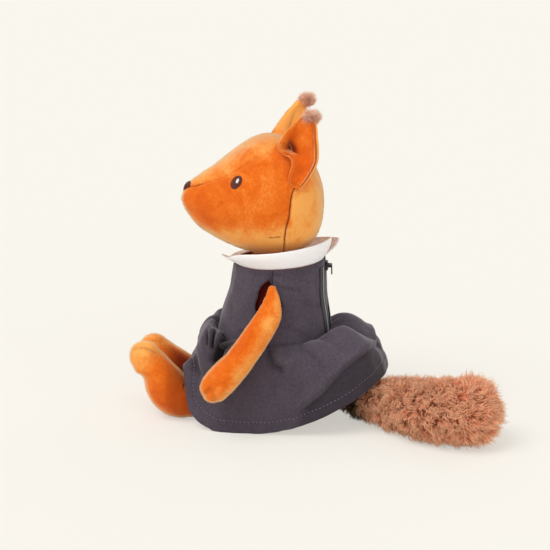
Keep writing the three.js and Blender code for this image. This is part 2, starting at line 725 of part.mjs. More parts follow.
function zipTape(side) {
  const edge = ZIP_SLOT + ZIP_TAPE_WIDTH;
  const low = side > 0 ? ZIP_SLOT : -edge;
  const high = side > 0 ? edge : -ZIP_SLOT;
  return boxSolid([low, tapeBottom, 0], [high, tapeTop, zipLength]);
}

// One half of the coil: a strip with a notch between each two turns.
function zipCoil(side) {
  const turns = 16;
  const outline = new THREE.Shape();
  const start = ZIP_STOP_LENGTH + GAP;
  const pitch = (zipLength - start) / turns;
  const outer = ZIP_SLOT + ZIP_COIL_WIDTH;
  outline.moveTo(outer, start);
  for (let i = 0; i < turns; i += 1) {
    outline.lineTo(ZIP_SLOT, start + pitch * (i + 0.2));
    outline.lineTo(ZIP_SLOT, start + pitch * (i + 0.6));
    outline.lineTo(ZIP_SLOT + ZIP_COIL_WIDTH / 3, start + pitch * (i + 0.8));
  }
  outline.lineTo(outer, zipLength);
  outline.closePath();
  const geometry = new THREE.ExtrudeGeometry(outline, { depth: ZIP_COIL_HEIGHT, bevelEnabled: false });
  geometry.rotateX(90 * DEGREE);
  geometry.translate(0, coilTop, 0);
  const solid = toSolid(geometry);
  return side > 0 ? solid : solid.mirror([1, 0, 0]);
}

function zipStop() {
  const half = ZIP_SLOT + ZIP_COIL_WIDTH;
  return boxSolid([-half, coilBottom, 0], [half, coilTop, ZIP_STOP_LENGTH]);
}

const sliderTop = zipLength - 0.5;
const sliderBottom = sliderTop - SLIDER_LENGTH;
const sliderHalfWidth = ZIP_SLOT + ZIP_COIL_WIDTH + GAP + SLIDER_WALL;
const plateBottom = coilTop + GAP;
const plateTop = plateBottom + SLIDER_PLATE;
const pinCentre = plateTop + SLIDER_LUG_HEIGHT - PULL_PIN_RADIUS - SLIDER_WALL;
const lugCentre = (sliderTop + sliderBottom) / 2;

// The slider: a plate over the coils, a wall on each side of them, a foot behind the tapes
// on a post through the slot, and two lugs with the pin that the pull hangs on.
function zipSlider() {
  const innerHalf = sliderHalfWidth - SLIDER_WALL;
  const footTop = tapeBottom - GAP;
  const post = ZIP_SLOT - GAP;
  let solid = boxSolid([-sliderHalfWidth, plateBottom, sliderBottom], [sliderHalfWidth, plateTop, sliderTop]);
  for (const side of [LEFT, RIGHT]) {
    const low = side > 0 ? innerHalf : -sliderHalfWidth;
    solid = solid.add(boxSolid([low, coilBottom, sliderBottom], [low + SLIDER_WALL, plateTop, sliderTop]));
    const lugHalf = SLIDER_LUG_LENGTH / 2;
    solid = solid.add(boxSolid(
      [low, plateBottom, lugCentre - lugHalf],
      [low + SLIDER_WALL, plateTop + SLIDER_LUG_HEIGHT, lugCentre + lugHalf],
    ));
  }
  solid = solid.add(boxSolid(
    [-post, footTop - SLIDER_WALL, sliderBottom + 1],
    [post, plateTop, sliderTop - 1],
  ));
  solid = solid.add(boxSolid([-2, footTop - SLIDER_WALL, sliderBottom + 1], [2, footTop, sliderTop - 1]));
  const pin = rodSolid(
    [-innerHalf - 0.1, pinCentre, lugCentre], [innerHalf + 0.1, pinCentre, lugCentre], PULL_PIN_RADIUS, 12,
  );
  return solid.add(pin);
}

// The pull hangs from the pin: a round eye and a flat tab.
function zipPull() {
  const eyeBore = PULL_PIN_RADIUS + GAP;
  const eyeRadius = eyeBore + PULL_EYE_WALL;
  const halfWidth = PULL_WIDTH / 2;
  const eye = rodSolid([-halfWidth, pinCentre, lugCentre], [halfWidth, pinCentre, lugCentre], eyeRadius, 16);
  const tabBack = pinCentre + eyeRadius - PULL_THICKNESS;
  const tab = boxSolid(
    [-halfWidth, tabBack, lugCentre - PULL_LENGTH],
    [halfWidth, tabBack + PULL_THICKNESS, lugCentre],
  );
  const bore = rodSolid([-PULL_WIDTH, pinCentre, lugCentre], [PULL_WIDTH, pinCentre, lugCentre], eyeBore, 16);
  return eye.add(tab).subtract(bore);
}

// Head, from the centre of the neck disc

const crownAt = lineThrough(CROWN_LINE);
const jawAt = lineThrough(JAW_LINE);
const cheekAt = lineThrough(CHEEK_LINE);

function headSolid(grow, sides, stations) {
  const noseY = CROWN_LINE[0][0];
  const backY = CROWN_LINE[CROWN_LINE.length - 1][0];
  const half = (backY - noseY) / 2;
  const rings = [];
  for (let i = 0; i < stations; i += 1) {
    const turn = ((i + 0.35) / (stations - 0.3)) * Math.PI;
    const y = noseY + half - (half + grow) * Math.cos(turn);
    const centreZ = (crownAt(y) + jawAt(y)) / 2;
    const halfHeight = (crownAt(y) - jawAt(y)) / 2 + grow;
    const halfWidth = cheekAt(y) + grow;
    const ring = [];
    for (let k = 0; k < sides; k += 1) {
      const around = (k / sides) * 2 * Math.PI;
      const power = 2 / HEAD_ROUND;
      const x = halfWidth * signedPower(Math.sin(around), power);
      const z = centreZ + halfHeight * signedPower(Math.cos(around), power);
      ring.push(new THREE.Vector3(x, y, z));
    }
    rings.push(ring);
  }
  return toSolid(loftGeometry(rings));
}

const headForm = headSolid(0, HEAD_SIDES, HEAD_STATIONS);
const headInner = headSolid(-PLUSH, 16, 11);
const headFilling = shrunkCopy(headInner, GAP);
const headClear = headSolid(GAP, HEAD_SIDES, HEAD_STATIONS);
const neckStub = rodSolid([0, 0, 0], [0, 0, 8], NECK_RADIUS, 28);
const headOpening = rodSolid([0, 0, -1], [0, 0, 10], SEAM_OPENING);
const headSkin = headForm.add(neckStub).subtract(headInner).subtract(headOpening);

// A prism with a flat outline that cuts a patch out of the face.
function facePrism(shape, centre, facing, depth) {
  const geometry = new THREE.ExtrudeGeometry(shape, { depth, bevelEnabled: false, curveSegments: 5 });
  geometry.translate(0, 0, -depth / 2);
  const out = new THREE.Vector3(...facing).normalize();
  const up = new THREE.Vector3(0, 0, 1).addScaledVector(out, -out.z).normalize();
  const sideways = new THREE.Vector3().crossVectors(up, out);
  geometry.applyMatrix4(new THREE.Matrix4().makeBasis(sideways, up, out));
  geometry.translate(...centre);
  return toSolid(geometry);
}

function ellipseShape(halfWidth, halfHeight, turn, centreX = 0, centreY = 0) {
  const shape = new THREE.Shape();
  const points = new THREE.EllipseCurve(centreX, centreY, halfWidth, halfHeight, 0, 2 * Math.PI, false, turn)
    .getPoints(16);
  return shape.setFromPoints(points.slice(1));
}

const eyeX = cheekAt(EYE_Y) * 0.83;
const eyeCentre = [eyeX, EYE_Y, EYE_Z];
const eyeTurn = -EYE_LEAN * DEGREE;
const embroideryBand = headSolid(GAP + EMBROIDERY, HEAD_SIDES, HEAD_STATIONS).subtract(headClear);
const eyePrism = facePrism(ellipseShape(EYE_HALF_WIDTH, EYE_HALF_HEIGHT, eyeTurn), eyeCentre, EYE_FACING, 16);
const eyeSolid = embroideryBand.intersect(eyePrism);
const glintBand = headSolid(2 * GAP + EMBROIDERY + GLINT_THREAD, HEAD_SIDES, HEAD_STATIONS)
  .subtract(headSolid(2 * GAP + EMBROIDERY, HEAD_SIDES, HEAD_STATIONS));
const glintShape = ellipseShape(GLINT_RADIUS, GLINT_RADIUS * 1.4, eyeTurn, 1.4, 1.2);
const glintSolid = glintBand.intersect(facePrism(glintShape, eyeCentre, EYE_FACING, 16));

const noseShape = new THREE.Shape();
noseShape.moveTo(0, -NOSE_HEIGHT / 2);
noseShape.quadraticCurveTo(NOSE_HALF_WIDTH * 0.7, -NOSE_HEIGHT * 0.1, NOSE_HALF_WIDTH, NOSE_HEIGHT * 0.3);
noseShape.quadraticCurveTo(NOSE_HALF_WIDTH * 0.8, NOSE_HEIGHT / 2, 0, NOSE_HEIGHT * 0.44);
noseShape.quadraticCurveTo(-NOSE_HALF_WIDTH * 0.8, NOSE_HEIGHT / 2, -NOSE_HALF_WIDTH, NOSE_HEIGHT * 0.3);
noseShape.quadraticCurveTo(-NOSE_HALF_WIDTH * 0.7, -NOSE_HEIGHT * 0.1, 0, -NOSE_HEIGHT / 2);
const noseSolid = embroideryBand.intersect(facePrism(noseShape, [0, NOSE_Y, NOSE_Z], NOSE_FACING, 18));

// Ears

const earFront = new THREE.CatmullRomCurve3(EAR_FRONT_EDGE.map((point) => new THREE.Vector3(...point)));
const earBack = new THREE.CatmullRomCurve3(EAR_BACK_EDGE.map((point) => new THREE.Vector3(...point)));
const earFacing = new THREE.Vector3(...EAR_FACING).normalize();

// A point of the cupped ear: u runs from its front edge to its back edge, v up to its tip.
function earPoint(u, v, inset) {
  const height = inset + (1 - 1.4 * inset) * v;
  const across = inset + (1 - 2 * inset) * u;
  const front = earFront.getPoint(height);
  const back = earBack.getPoint(height);
  const cup = EAR_CUP * Math.sin(Math.min(1, height * 1.1 + 0.06) * Math.PI) ** 0.8;
  const point = front.clone().lerp(back, across);
  point.addScaledVector(earFacing, -cup * Math.sin(across * Math.PI));
  return point;
}

function earSheet(from, to, inset) {
  return toSolid(sheetGeometry({ at: (u, v) => earPoint(u, v, inset), stepsU: 8, stepsV: 8, from, to }));
}

const earBackLayer = earSheet(-EAR_BACK_CLOTH, 0, 0).subtract(headClear);
const earLiningLayer = earSheet(EAR_LAYER_GAP, EAR_LAYER_GAP + EAR_LINING_CLOTH, EAR_LINING_INSET)
  .subtract(headClear);
const earRoom = earSheet(-EAR_BACK_CLOTH - GAP, EAR_LAYER_GAP + EAR_LINING_CLOTH + GAP, 0);
const earClear = earRoom.add(shrunkCopy(earRoom, -GAP));

const tuftGeometry = new THREE.SphereGeometry(1, 10, 7);
tuftGeometry.scale(TUFT_HALF_WIDTH, TUFT_HALF_DEPTH, TUFT_HALF_HEIGHT);
tuftGeometry.translate(...TUFT_CENTRE);
const tuftSolid = toSolid(tuftGeometry).subtract(earClear);

// Limbs and tail

const acrossLimb = new THREE.Vector3(1, 0, 0);
const upright = new THREE.Vector3(0, 0, 1);

function armShape(shrink, sides, steps) {
  return stuffedTube({
    path: ARM_PATH,
    heights: ARM_HALF_WIDTHS,
    widths: ARM_HALF_THICKNESSES,
    across: acrossLimb,
    shrink,
    sides,
    steps,
  });
}

const stubInner = shoulderFlat + GAP;
const stubEnd = [ARM_PATH[1][0], SHOULDER_Y, SHOULDER_Z];
const armStub = rodSolid([stubInner, SHOULDER_Y, SHOULDER_Z], stubEnd, ARM_STUB_RADIUS);
const armPassage = rodSolid([stubInner - 1, SHOULDER_Y, SHOULDER_Z], stubEnd, 1.4, 10);
const armRoom = {
  path: ARM_PATH.slice(1),
  heights: ARM_HALF_WIDTHS.slice(1),
  widths: ARM_HALF_THICKNESSES.slice(1),
};

function armFilling(shrink) {
  return stuffedTube({ ...armRoom, across: acrossLimb, shrink, sides: 10, steps: 7, tipSteps: 2 });
}

const armSkin = armShape(0, 14, 10).add(armStub).subtract(armFilling(PLUSH)).subtract(armPassage);
const armStuffing = armFilling(PLUSH + GAP);

// The path of the right leg, before it is mirrored: the left one turned in at the hip, with
// its foot drawn in and leaned forward about the heel.
function rightLegPoints() {
  const hip = new THREE.Vector3(...LEG_PATH[0]);
  const heel = new THREE.Vector3(...LEG_PATH[2]);
  return LEG_PATH.map((values, i) => {
    const point = new THREE.Vector3(...values);
    if (i > 2) {
      point.sub(heel).multiplyScalar(RIGHT_FOOT_REACH);
      point.applyAxisAngle(acrossLimb, RIGHT_FOOT_LEAN * DEGREE).add(heel);
    }
    return point.sub(hip).applyAxisAngle(upright, -RIGHT_LEG_TURN * DEGREE).add(hip).toArray();
  });
}

function legShape(path, shrink, sides, steps) {
  return stuffedTube({
    path,
    heights: LEG_HALF_HEIGHTS,
    widths: LEG_HALF_WIDTHS,
    across: acrossLimb,
    shrink,
    sides,
    steps,
  });
}

const torsoClear = torsoSolid(-GAP, TORSO_SIDES);
const legPassage = rodSolid([HIP_X, HIP_Y + 20, HIP_Z], [HIP_X, HIP_Y, HIP_Z], SEAM_OPENING, 12);

function legSkin(path) {
  return legShape(path, 0, 16, 10)
    .intersect(aboveSeat)
    .subtract(torsoClear)
    .subtract(legShape(path, PLUSH + SEAT_CUT, 10, 6))
    .subtract(legPassage);
}

function legStuffing(path) {
  return legShape(path, PLUSH + SEAT_CUT + GAP, 10, 6);
}

const rightLegPath = rightLegPoints();

// The tail's root is a ball that touches the back of the torso.
const torsoBack = torsoRing(TAIL_ROOT_Z);
const tailRootY = torsoBack.centre + torsoBack.halfDepth + GAP + TAIL_ROOT_RADIUS;
const tailPath = [[0, tailRootY, TAIL_ROOT_Z], ...TAIL_PATH];
const tailRadii = [TAIL_ROOT_RADIUS, ...TAIL_RADII];

function tailShape(shrink, sides, steps) {
  return stuffedTube({
    path: tailPath, heights: tailRadii, widths: tailRadii, across: upright, shrink, sides, steps,
  });
}

const tailInside = tailShape(PLUSH + SEAT_CUT, 10, 7);
const tailPassage = rodSolid([0, tailRootY - 20, TAIL_ROOT_Z], [0, tailRootY, TAIL_ROOT_Z], SEAM_OPENING, 12);
const tailSkin = tailShape(0, 16, 12).intersect(aboveSeat).subtract(tailInside).subtract(tailPassage);
const tailStuffing = tailShape(PLUSH + SEAT_CUT + GAP, 10, 7);

// Assembly

const finishes = {
  velour: { color: ORANGE_VELOUR, roughness: 0.9, metalness: 0 },
  lining: { color: DARK_VELOUR, roughness: 0.9, metalness: 0 },
  fur: { color: BROWN_FUR, roughness: 0.95, metalness: 0 },
  tuft: { color: PINK_BROWN_FUR, roughness: 0.95, metalness: 0 },
  cotton: { color: CHARCOAL_COTTON, roughness: 0.85, metalness: 0 },
  collar: { color: WHITE_COTTON, roughness: 0.8, metalness: 0 },
  tape: { color: BLACK_TAPE, roughness: 0.8, metalness: 0 },
  coil: { color: GREY_COIL, roughness: 0.4, metalness: 0 },
  metal: { color: DARK_METAL, roughness: 0.35, metalness: 0.9 },
  filling: { color: WHITE_FILLING, roughness: 1, metalness: 0 },
  pellets: { color: PELLET_CLOTH, roughness: 1, metalness: 0 },
  brownThread: { color: BROWN_THREAD, roughness: 0.6, metalness: 0 },
  whiteThread: { color: WHITE_THREAD, roughness: 0.5, metalness: 0 },
};

function piece(name, geometry, finish) {
  const mesh = new THREE.Mesh(geometry, new THREE.MeshStandardMaterial(finishes[finish]));
  mesh.name = name;
  return mesh;
}

function solidPiece(name, solid, finish, mirrored = false) {
  return piece(name, toGeometry(mirrored ? solid.mirror([1, 0, 0]) : solid), finish);
}

const squirrel = new THREE.Group();
squirrel.add(
  solidPiece("torso_skin", torsoSkin, "velour"),
  solidPiece("torso_stuffing", torsoStuffing, "filling"),
  solidPiece("seat_pellet_bag", pelletBag, "pellets"),
  solidPiece("bodice_front", bodiceFront, "cotton"),
  solidPiece("bodice_back_left", bodiceBackLeft, "cotton"),
  solidPiece("bodice_back_right", bodiceBackRight, "cotton"),
  piece("skirt_front", skirtFront, "cotton"),
  piece("skirt_back_left", skirtBackLeft, "cotton"),
  piece("skirt_back_right", skirtBackRight, "cotton"),
  solidPiece("collar_left", collarHalf(LEFT), "collar"),
  solidPiece("collar_right", collarHalf(RIGHT), "collar"),
);

const zip = new THREE.Group();
zip.position.copy(zipFoot);
zip.rotation.x = zipLean;
zip.add(
  solidPiece("zip_tape_left", zipTape(LEFT), "tape"),
  solidPiece("zip_tape_right", zipTape(RIGHT), "tape"),
  solidPiece("zip_coil_left", zipCoil(LEFT), "coil"),
  solidPiece("zip_coil_right", zipCoil(RIGHT), "coil"),
  solidPiece("zip_bottom_stop", zipStop(), "metal"),
  solidPiece("zip_slider", zipSlider(), "metal"),
  solidPiece("zip_pull", zipPull(), "metal"),
);
squirrel.add(zip);

const head = new THREE.Group();
head.position.set(0, NECK_Y, NECK_HEIGHT);
head.rotation.z = HEAD_TURN * DEGREE;
head.add(
  solidPiece("head_skin", headSkin, "velour"),
  solidPiece("head_stuffing", headFilling, "filling"),
  solidPiece("nose", noseSolid, "brownThread"),
);
for (const [name, mirrored] of [["left", false], ["right", true]]) {
  head.add(
    solidPiece(`eye_${name}`, eyeSolid, "brownThread", mirrored),
    solidPiece(`eye_glint_${name}`, glintSolid, "whiteThread", mirrored),
    solidPiece(`ear_${name}_back`, earBackLayer, "velour", mirrored),
    solidPiece(`ear_${name}_lining`, earLiningLayer, "lining", mirrored),
    solidPiece(`ear_${name}_tuft`, tuftSolid, "tuft", mirrored),
  );
}
squirrel.add(head);

for (const [name, mirrored] of [["left", false], ["right", true]]) {
  squirrel.add(
    solidPiece(`arm_${name}_skin`, armSkin, "velour", mirrored),
    solidPiece(`arm_${name}_stuffing`, armStuffing, "filling", mirrored),
    solidPiece(`leg_${name}_skin`, legSkin(mirrored ? rightLegPath : LEG_PATH), "velour", mirrored),
    solidPiece(`leg_${name}_stuffing`, legStuffing(mirrored ? rightLegPath : LEG_PATH), "filling", mirrored),
  );
}
squirrel.add(
  solidPiece("tail_skin", tailSkin, "fur"),
  solidPiece("tail_stuffing", tailStuffing, "filling"),
);

export default squirrel;
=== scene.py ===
import json
import math

import bmesh
import bpy
import numpy as np
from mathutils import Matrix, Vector, geometry, noise
from mathutils.bvhtree import BVHTree
from mathutils.kdtree import KDTree

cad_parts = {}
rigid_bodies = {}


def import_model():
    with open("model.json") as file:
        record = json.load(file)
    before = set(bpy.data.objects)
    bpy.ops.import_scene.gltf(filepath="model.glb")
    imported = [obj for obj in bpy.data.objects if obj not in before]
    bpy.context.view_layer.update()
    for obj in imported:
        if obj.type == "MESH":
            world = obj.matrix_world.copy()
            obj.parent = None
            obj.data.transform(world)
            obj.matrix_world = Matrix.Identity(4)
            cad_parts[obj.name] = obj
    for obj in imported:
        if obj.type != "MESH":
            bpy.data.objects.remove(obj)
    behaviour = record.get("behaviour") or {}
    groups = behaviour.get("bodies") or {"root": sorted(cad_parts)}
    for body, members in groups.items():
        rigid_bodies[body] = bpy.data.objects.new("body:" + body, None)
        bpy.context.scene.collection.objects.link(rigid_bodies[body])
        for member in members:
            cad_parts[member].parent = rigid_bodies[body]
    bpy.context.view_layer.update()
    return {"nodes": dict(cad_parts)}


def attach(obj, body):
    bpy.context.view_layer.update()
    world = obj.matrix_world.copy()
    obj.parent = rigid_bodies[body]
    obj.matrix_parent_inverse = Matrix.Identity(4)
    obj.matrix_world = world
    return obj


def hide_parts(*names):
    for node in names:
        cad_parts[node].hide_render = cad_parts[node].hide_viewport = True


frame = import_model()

# Sizes are in millimetres until a mesh is made.
MM = 0.001
DEG = math.pi / 180

# Rings that round each end of a stuffed tube
TIP_RINGS = 7

# The bag that the cloth simulation fills, and how
BAG_SCALE = 10.0
BAG_PRESSURE = 16.0
BAG_MASS = 0.004
BAG_FRAMES = 20

# Camera
CAMERA_AZIMUTH = 98
CAMERA_ELEVATION = 15
CAMERA_DISTANCE = 1050
CAMERA_LENS = 85
SENSOR = 36
PICTURE_SIDE = 550
SEAT_PIXEL = (268, 409.9)

# Colours as they look, from 0 to 255
BACKDROP = (249, 246, 238)
ORANGE_DEEP = (214, 82, 8)
ORANGE_MIDDLE = (240, 118, 26)
ORANGE_LIGHT = (255, 180, 92)
# Painted rim light at the edges of velour
EDGE_GLOW = (255, 228, 176)
CHARCOAL = (84, 74, 86)
CHARCOAL_DARK = (66, 58, 68)
WHITE_CLOTH = (255, 254, 255)
FUR_ROOT = (184, 110, 80)
FUR_MIDDLE = (248, 168, 128)
FUR_TIP = (255, 210, 170)
TUFT_ROOT = (232, 164, 140)
TUFT_TIP = (255, 226, 206)
BROWN_THREAD = (92, 38, 22)
WHITE_THREAD = (248, 246, 244)
ZIP_BLACK = (34, 32, 38)
COIL_GREY = (120, 118, 124)


def linear(colour):
    """The colour as materials want it, from how it looks."""
    values = [c / 255 for c in colour]
    return tuple(v / 12.92 if v <= 0.04045 else ((v + 0.055) / 1.055) ** 2.4 for v in values) + (1.0,)


# Lines and curves

def uniform_spline(points, per_span=24):
    """Samples of a smooth line through the points, with even knots."""
    p = np.array(points, float)
    n = len(p)
    samples = []
    for k in np.linspace(0, n - 1, (n - 1) * per_span + 1):
        i = min(int(k), n - 2)
        t = k - i
        p0, p1, p2, p3 = p[max(i - 1, 0)], p[i], p[i + 1], p[min(i + 2, n - 1)]
        v0, v1 = (p2 - p0) / 2, (p3 - p1) / 2
        cubed, squared = 2 * p1 - 2 * p2 + v0 + v1, -3 * p1 + 3 * p2 - 2 * v0 - v1
        samples.append(cubed * t ** 3 + squared * t ** 2 + v0 * t + p1)
    return np.array(samples)


def line_through(points):
    samples = uniform_spline(points)
    return lambda x: np.interp(x, samples[:, 0], samples[:, 1])


def mirrored_line(points):
    line = line_through(points)

    def value(degrees):
        turn = np.mod(degrees, 360)
        return line(np.where(turn > 180, 360 - turn, turn))
    return value


class SmoothPath:
    """A smooth curve through points, with knots spaced by the root of the distance."""

    def __init__(self, points):
        p = np.array(points, float)
        self.points = np.vstack([2 * p[0] - p[1], p, 2 * p[-1] - p[-2]])
        self.spans = len(p) - 1

    def at(self, t):
        k = min(max(t, 0), 1) * self.spans
        i = min(int(k), self.spans - 1)
        w = k - i
        p0, p1, p2, p3 = self.points[i:i + 4]
        d0, d1, d2 = (max(np.linalg.norm(b - a) ** 0.5, 1e-4) for a, b in ((p0, p1), (p1, p2), (p2, p3)))
        m1 = ((p1 - p0) / d0 - (p2 - p0) / (d0 + d1) + (p2 - p1) / d1) * d1
        m2 = ((p2 - p1) / d1 - (p3 - p1) / (d1 + d2) + (p3 - p2) / d2) * d1
        return p1 + m1 * w + (-3 * p1 + 3 * p2 - 2 * m1 - m2) * w ** 2 + (2 * p1 - 2 * p2 + m1 + m2) * w ** 3

    def direction(self, t):
        step = 1e-3
        d = self.at(min(t + step, 1)) - self.at(max(t - step, 0))
        return d / np.linalg.norm(d)


def unit(v):
    v = np.array(v, float)
    return v / np.maximum(np.linalg.norm(v, axis=-1, keepdims=True), 1e-9)


def signed_power(value, power):
    return np.sign(value) * np.abs(value) ** power


def smooth_step(value):
    value = np.clip(value, 0, 1)
    return value * value * (3 - 2 * value)


def distance_to_line(points, line):
    """Distance from each point to a line of straight pieces."""
    best = np.full(points.shape[:-1], 1e9)
    line = np.array(line, float)
    for a, b in zip(line[:-1], line[1:]):
        ab = b - a
        t = np.clip(((points - a) @ ab) / (ab @ ab), 0, 1)
        best = np.minimum(best, np.linalg.norm(points - (a + t[..., None] * ab), axis=-1))
    return best


def lumps(points, size, seed):
    """Smooth noise from -1 to 1 at each point of a grid, with lumps of that size."""
    flat = points.reshape(-1, 3) / size + seed * 17.3
    return np.array([noise.noise(Vector(p)) for p in flat]).reshape(points.shape[:-1])


# Meshes

def finish_object(name, mesh, material):
    obj = bpy.data.objects.new(name, mesh)
    bpy.context.scene.collection.objects.link(obj)
    if material:
        mesh.materials.clear()
        mesh.materials.append(material)
    mesh.polygons.foreach_set("use_smooth", [True] * len(mesh.polygons))
    return obj


def grid_normals(grid, closed):
    if closed:
        along_u = np.roll(grid, -1, axis=1) - np.roll(grid, 1, axis=1)
    else:
        along_u = np.gradient(grid, axis=1)
    along_v = np.gradient(grid, axis=0)
    return unit(np.cross(along_u, along_v))


def outward_normals(grid):
    normals = grid_normals(grid, True)
    centres = grid.mean(axis=1, keepdims=True)
    return normals if ((grid - centres) * normals).sum() > 0 else -normals


def mesh_from(name, points, faces, uvs=None, attributes=None, material=None, turn_out=False):
    mesh = bpy.data.meshes.new(name)
    mesh.from_pydata([tuple(p) for p in np.asarray(points) * MM], [], faces)
    if uvs is not None:
        layer = mesh.uv_layers.new(name="cloth")
        loops = np.empty(len(mesh.loops), np.int32)
        mesh.loops.foreach_get("vertex_index", loops)
        layer.data.foreach_set("uv", (np.asarray(uvs)[loops] * MM).ravel())
    for key, values in (attributes or {}).items():
        values = np.asarray(values, np.float32)
        kind = "FLOAT" if values.ndim == 1 else "FLOAT_VECTOR"
        layer = mesh.attributes.new(key, kind, "POINT")
        layer.data.foreach_set("value" if values.ndim == 1 else "vector", values.ravel())
    mesh.update()
    if turn_out:
        work = bmesh.new()
        work.from_mesh(mesh)
        if work.calc_volume(signed=True) < 0:
            bmesh.ops.reverse_faces(work, faces=work.faces)
        work.to_mesh(mesh)
        work.free()
    return finish_object(name, mesh, material)


def grid_faces(rows, cols, closed=False):
    faces = []
    for r in range(rows - 1):
        for c in range(cols if closed else cols - 1):
            d = (c + 1) % cols
            faces.append((r * cols + c, r * cols + d, (r + 1) * cols + d, (r + 1) * cols + c))
    return faces


def grid_uvs(rows, cols, width, height):
    """Where each point of a grid lies on its flat cloth."""
    across, down = np.linspace(0, width, cols)[None, :], np.linspace(0, height, rows)[:, None]
    return np.stack(np.broadcast_arrays(across, down), axis=-1).reshape(-1, 2)


def closed_form(name, grid, attributes=None, material=None):
    """A closed body from rings of points, with a point at each end."""
    rows, cols = grid.shape[:2]
    points = np.vstack([grid.reshape(-1, 3), grid[0].mean(0), grid[-1].mean(0)])
    faces = grid_faces(rows, cols, True)
    for c in range(cols):
        d = (c + 1) % cols
        faces.append((rows * cols, d, c))
        faces.append((rows * cols + 1, (rows - 1) * cols + c, (rows - 1) * cols + d))
    closed = {}
    for key, values in (attributes or {}).items():
        flat = values.reshape((rows * cols,) + values.shape[2:])
        closed[key] = np.concatenate([flat, values[0].mean(0)[None], values[-1].mean(0)[None]])
    return mesh_from(name, points, faces, None, closed, material, turn_out=True)


def sheet_form(name, surface, faces, uvs, low, high, material, normals, attributes=None):
    """A closed sheet of cloth between two distances along the surface's normals."""
    count = len(surface)
    low, high = np.broadcast_to(low, (count,)), np.broadcast_to(high, (count,))
    points = np.vstack([surface + normals * high[:, None], surface + normals * low[:, None]])
    borders = {}
    for face in faces:
        for a, b in zip(face, face[1:] + face[:1]):
            if (b, a) in borders:
                del borders[(b, a)]
            else:
                borders[(a, b)] = True
    walls = [(b, a, a + count, b + count) for a, b in borders]
    both = list(faces) + [tuple(i + count for i in reversed(face)) for face in faces] + walls
    doubled = {k: np.concatenate([v, v]) for k, v in (attributes or {}).items()}
    return mesh_from(name, points, both, np.vstack([uvs, uvs]), doubled, material, turn_out=True)


def tube_rings(path, heights, widths, across, sides, steps):
    """Rings of a stuffed tube that is rounded at both ends, as heights and widths say."""
    curve = SmoothPath(path)
    places = np.linspace(0, 1, len(path))
    height_at = uniform_spline(np.column_stack([places, heights]))
    width_at = uniform_spline(np.column_stack([places, widths]))
    across = np.array(across, float)
    turns = np.linspace(0, 2 * math.pi, sides, endpoint=False)

    def ring(t, outward, scale):
        tangent = curve.direction(t)
        side = unit(across - tangent * (across @ tangent))
        up = np.cross(side, tangent)
        half_height = np.interp(t, height_at[:, 0], height_at[:, 1])
        half_width = np.interp(t, width_at[:, 0], width_at[:, 1])
        centre = curve.at(t) + tangent * min(half_height, half_width) * outward
        return (centre + np.outer(np.cos(turns), side) * half_width * scale
                + np.outer(np.sin(turns), up) * half_height * scale)

    tips = [(i + 0.3) / TIP_RINGS * math.pi / 2 for i in range(TIP_RINGS)]
    rings = [ring(0, -math.cos(a), math.sin(a)) for a in tips]
    rings += [ring(t, 0, 1) for t in np.linspace(0, 1, steps + 1)]
    rings += [ring(1, math.cos(a), math.sin(a)) for a in reversed(tips)]
    return np.array(rings)


# Node trees

COLOUR, VALUE, VECTOR = "NodeSocketColor", "NodeSocketFloat", "NodeSocketVector"
MATERIAL, GEOMETRY = "NodeSocketMaterial", "NodeSocketGeometry"


def fill_inputs(tree, made, inputs):
    """Gives each input its value, or a link where the value is another node's socket."""
    for key, value in inputs.items():
        if isinstance(value, bpy.types.NodeSocket):
            tree.links.new(value, made.inputs[key])
        else:
            made.inputs[key].default_value = value


def node(tree, kind, inputs=None, **settings):
    made = tree.nodes.new(kind)
    for key, value in settings.items():
        setattr(made, key, value)
    fill_inputs(tree, made, inputs or {})
    return made


def maths(tree, operation, a, b=0.0):
    return node(tree, "ShaderNodeMath", {0: a, 1: b}, operation=operation).outputs[0]


def mixed_colour(tree, factor, a, b):
    return node(tree, "ShaderNodeMix", {0: factor, 6: a, 7: b}, data_type="RGBA").outputs[2]


def ranged(tree, value, low, high, to_low=0.0, to_high=1.0):
    made = node(tree, "ShaderNodeMapRange", {"Value": value, "From Min": low, "From Max": high,
                                             "To Min": to_low, "To Max": to_high})
    return made.outputs["Result"]


def grain(tree, place, scale, detail=2.0, roughness=0.5, distortion=0.0):
    """Cloudy noise from 0 to 1."""
    made = node(tree, "ShaderNodeTexNoise", {"Vector": place, "Scale": scale, "Detail": detail,
                                             "Roughness": roughness, "Distortion": distortion})
    return made.outputs["Fac"]


def new_group(name, kind, inputs, outputs):
    """A node group with named inputs and outputs, and its first and last node."""
    tree = bpy.data.node_groups.new(name, kind)
    for label, socket_kind, default in inputs:
        socket = tree.interface.new_socket(label, in_out="INPUT", socket_type=socket_kind)
        if default is not None:
            socket.default_value = default
    for label, socket_kind in outputs:
        tree.interface.new_socket(label, in_out="OUTPUT", socket_type=socket_kind)
    return tree, tree.nodes.new("NodeGroupInput"), tree.nodes.new("NodeGroupOutput")


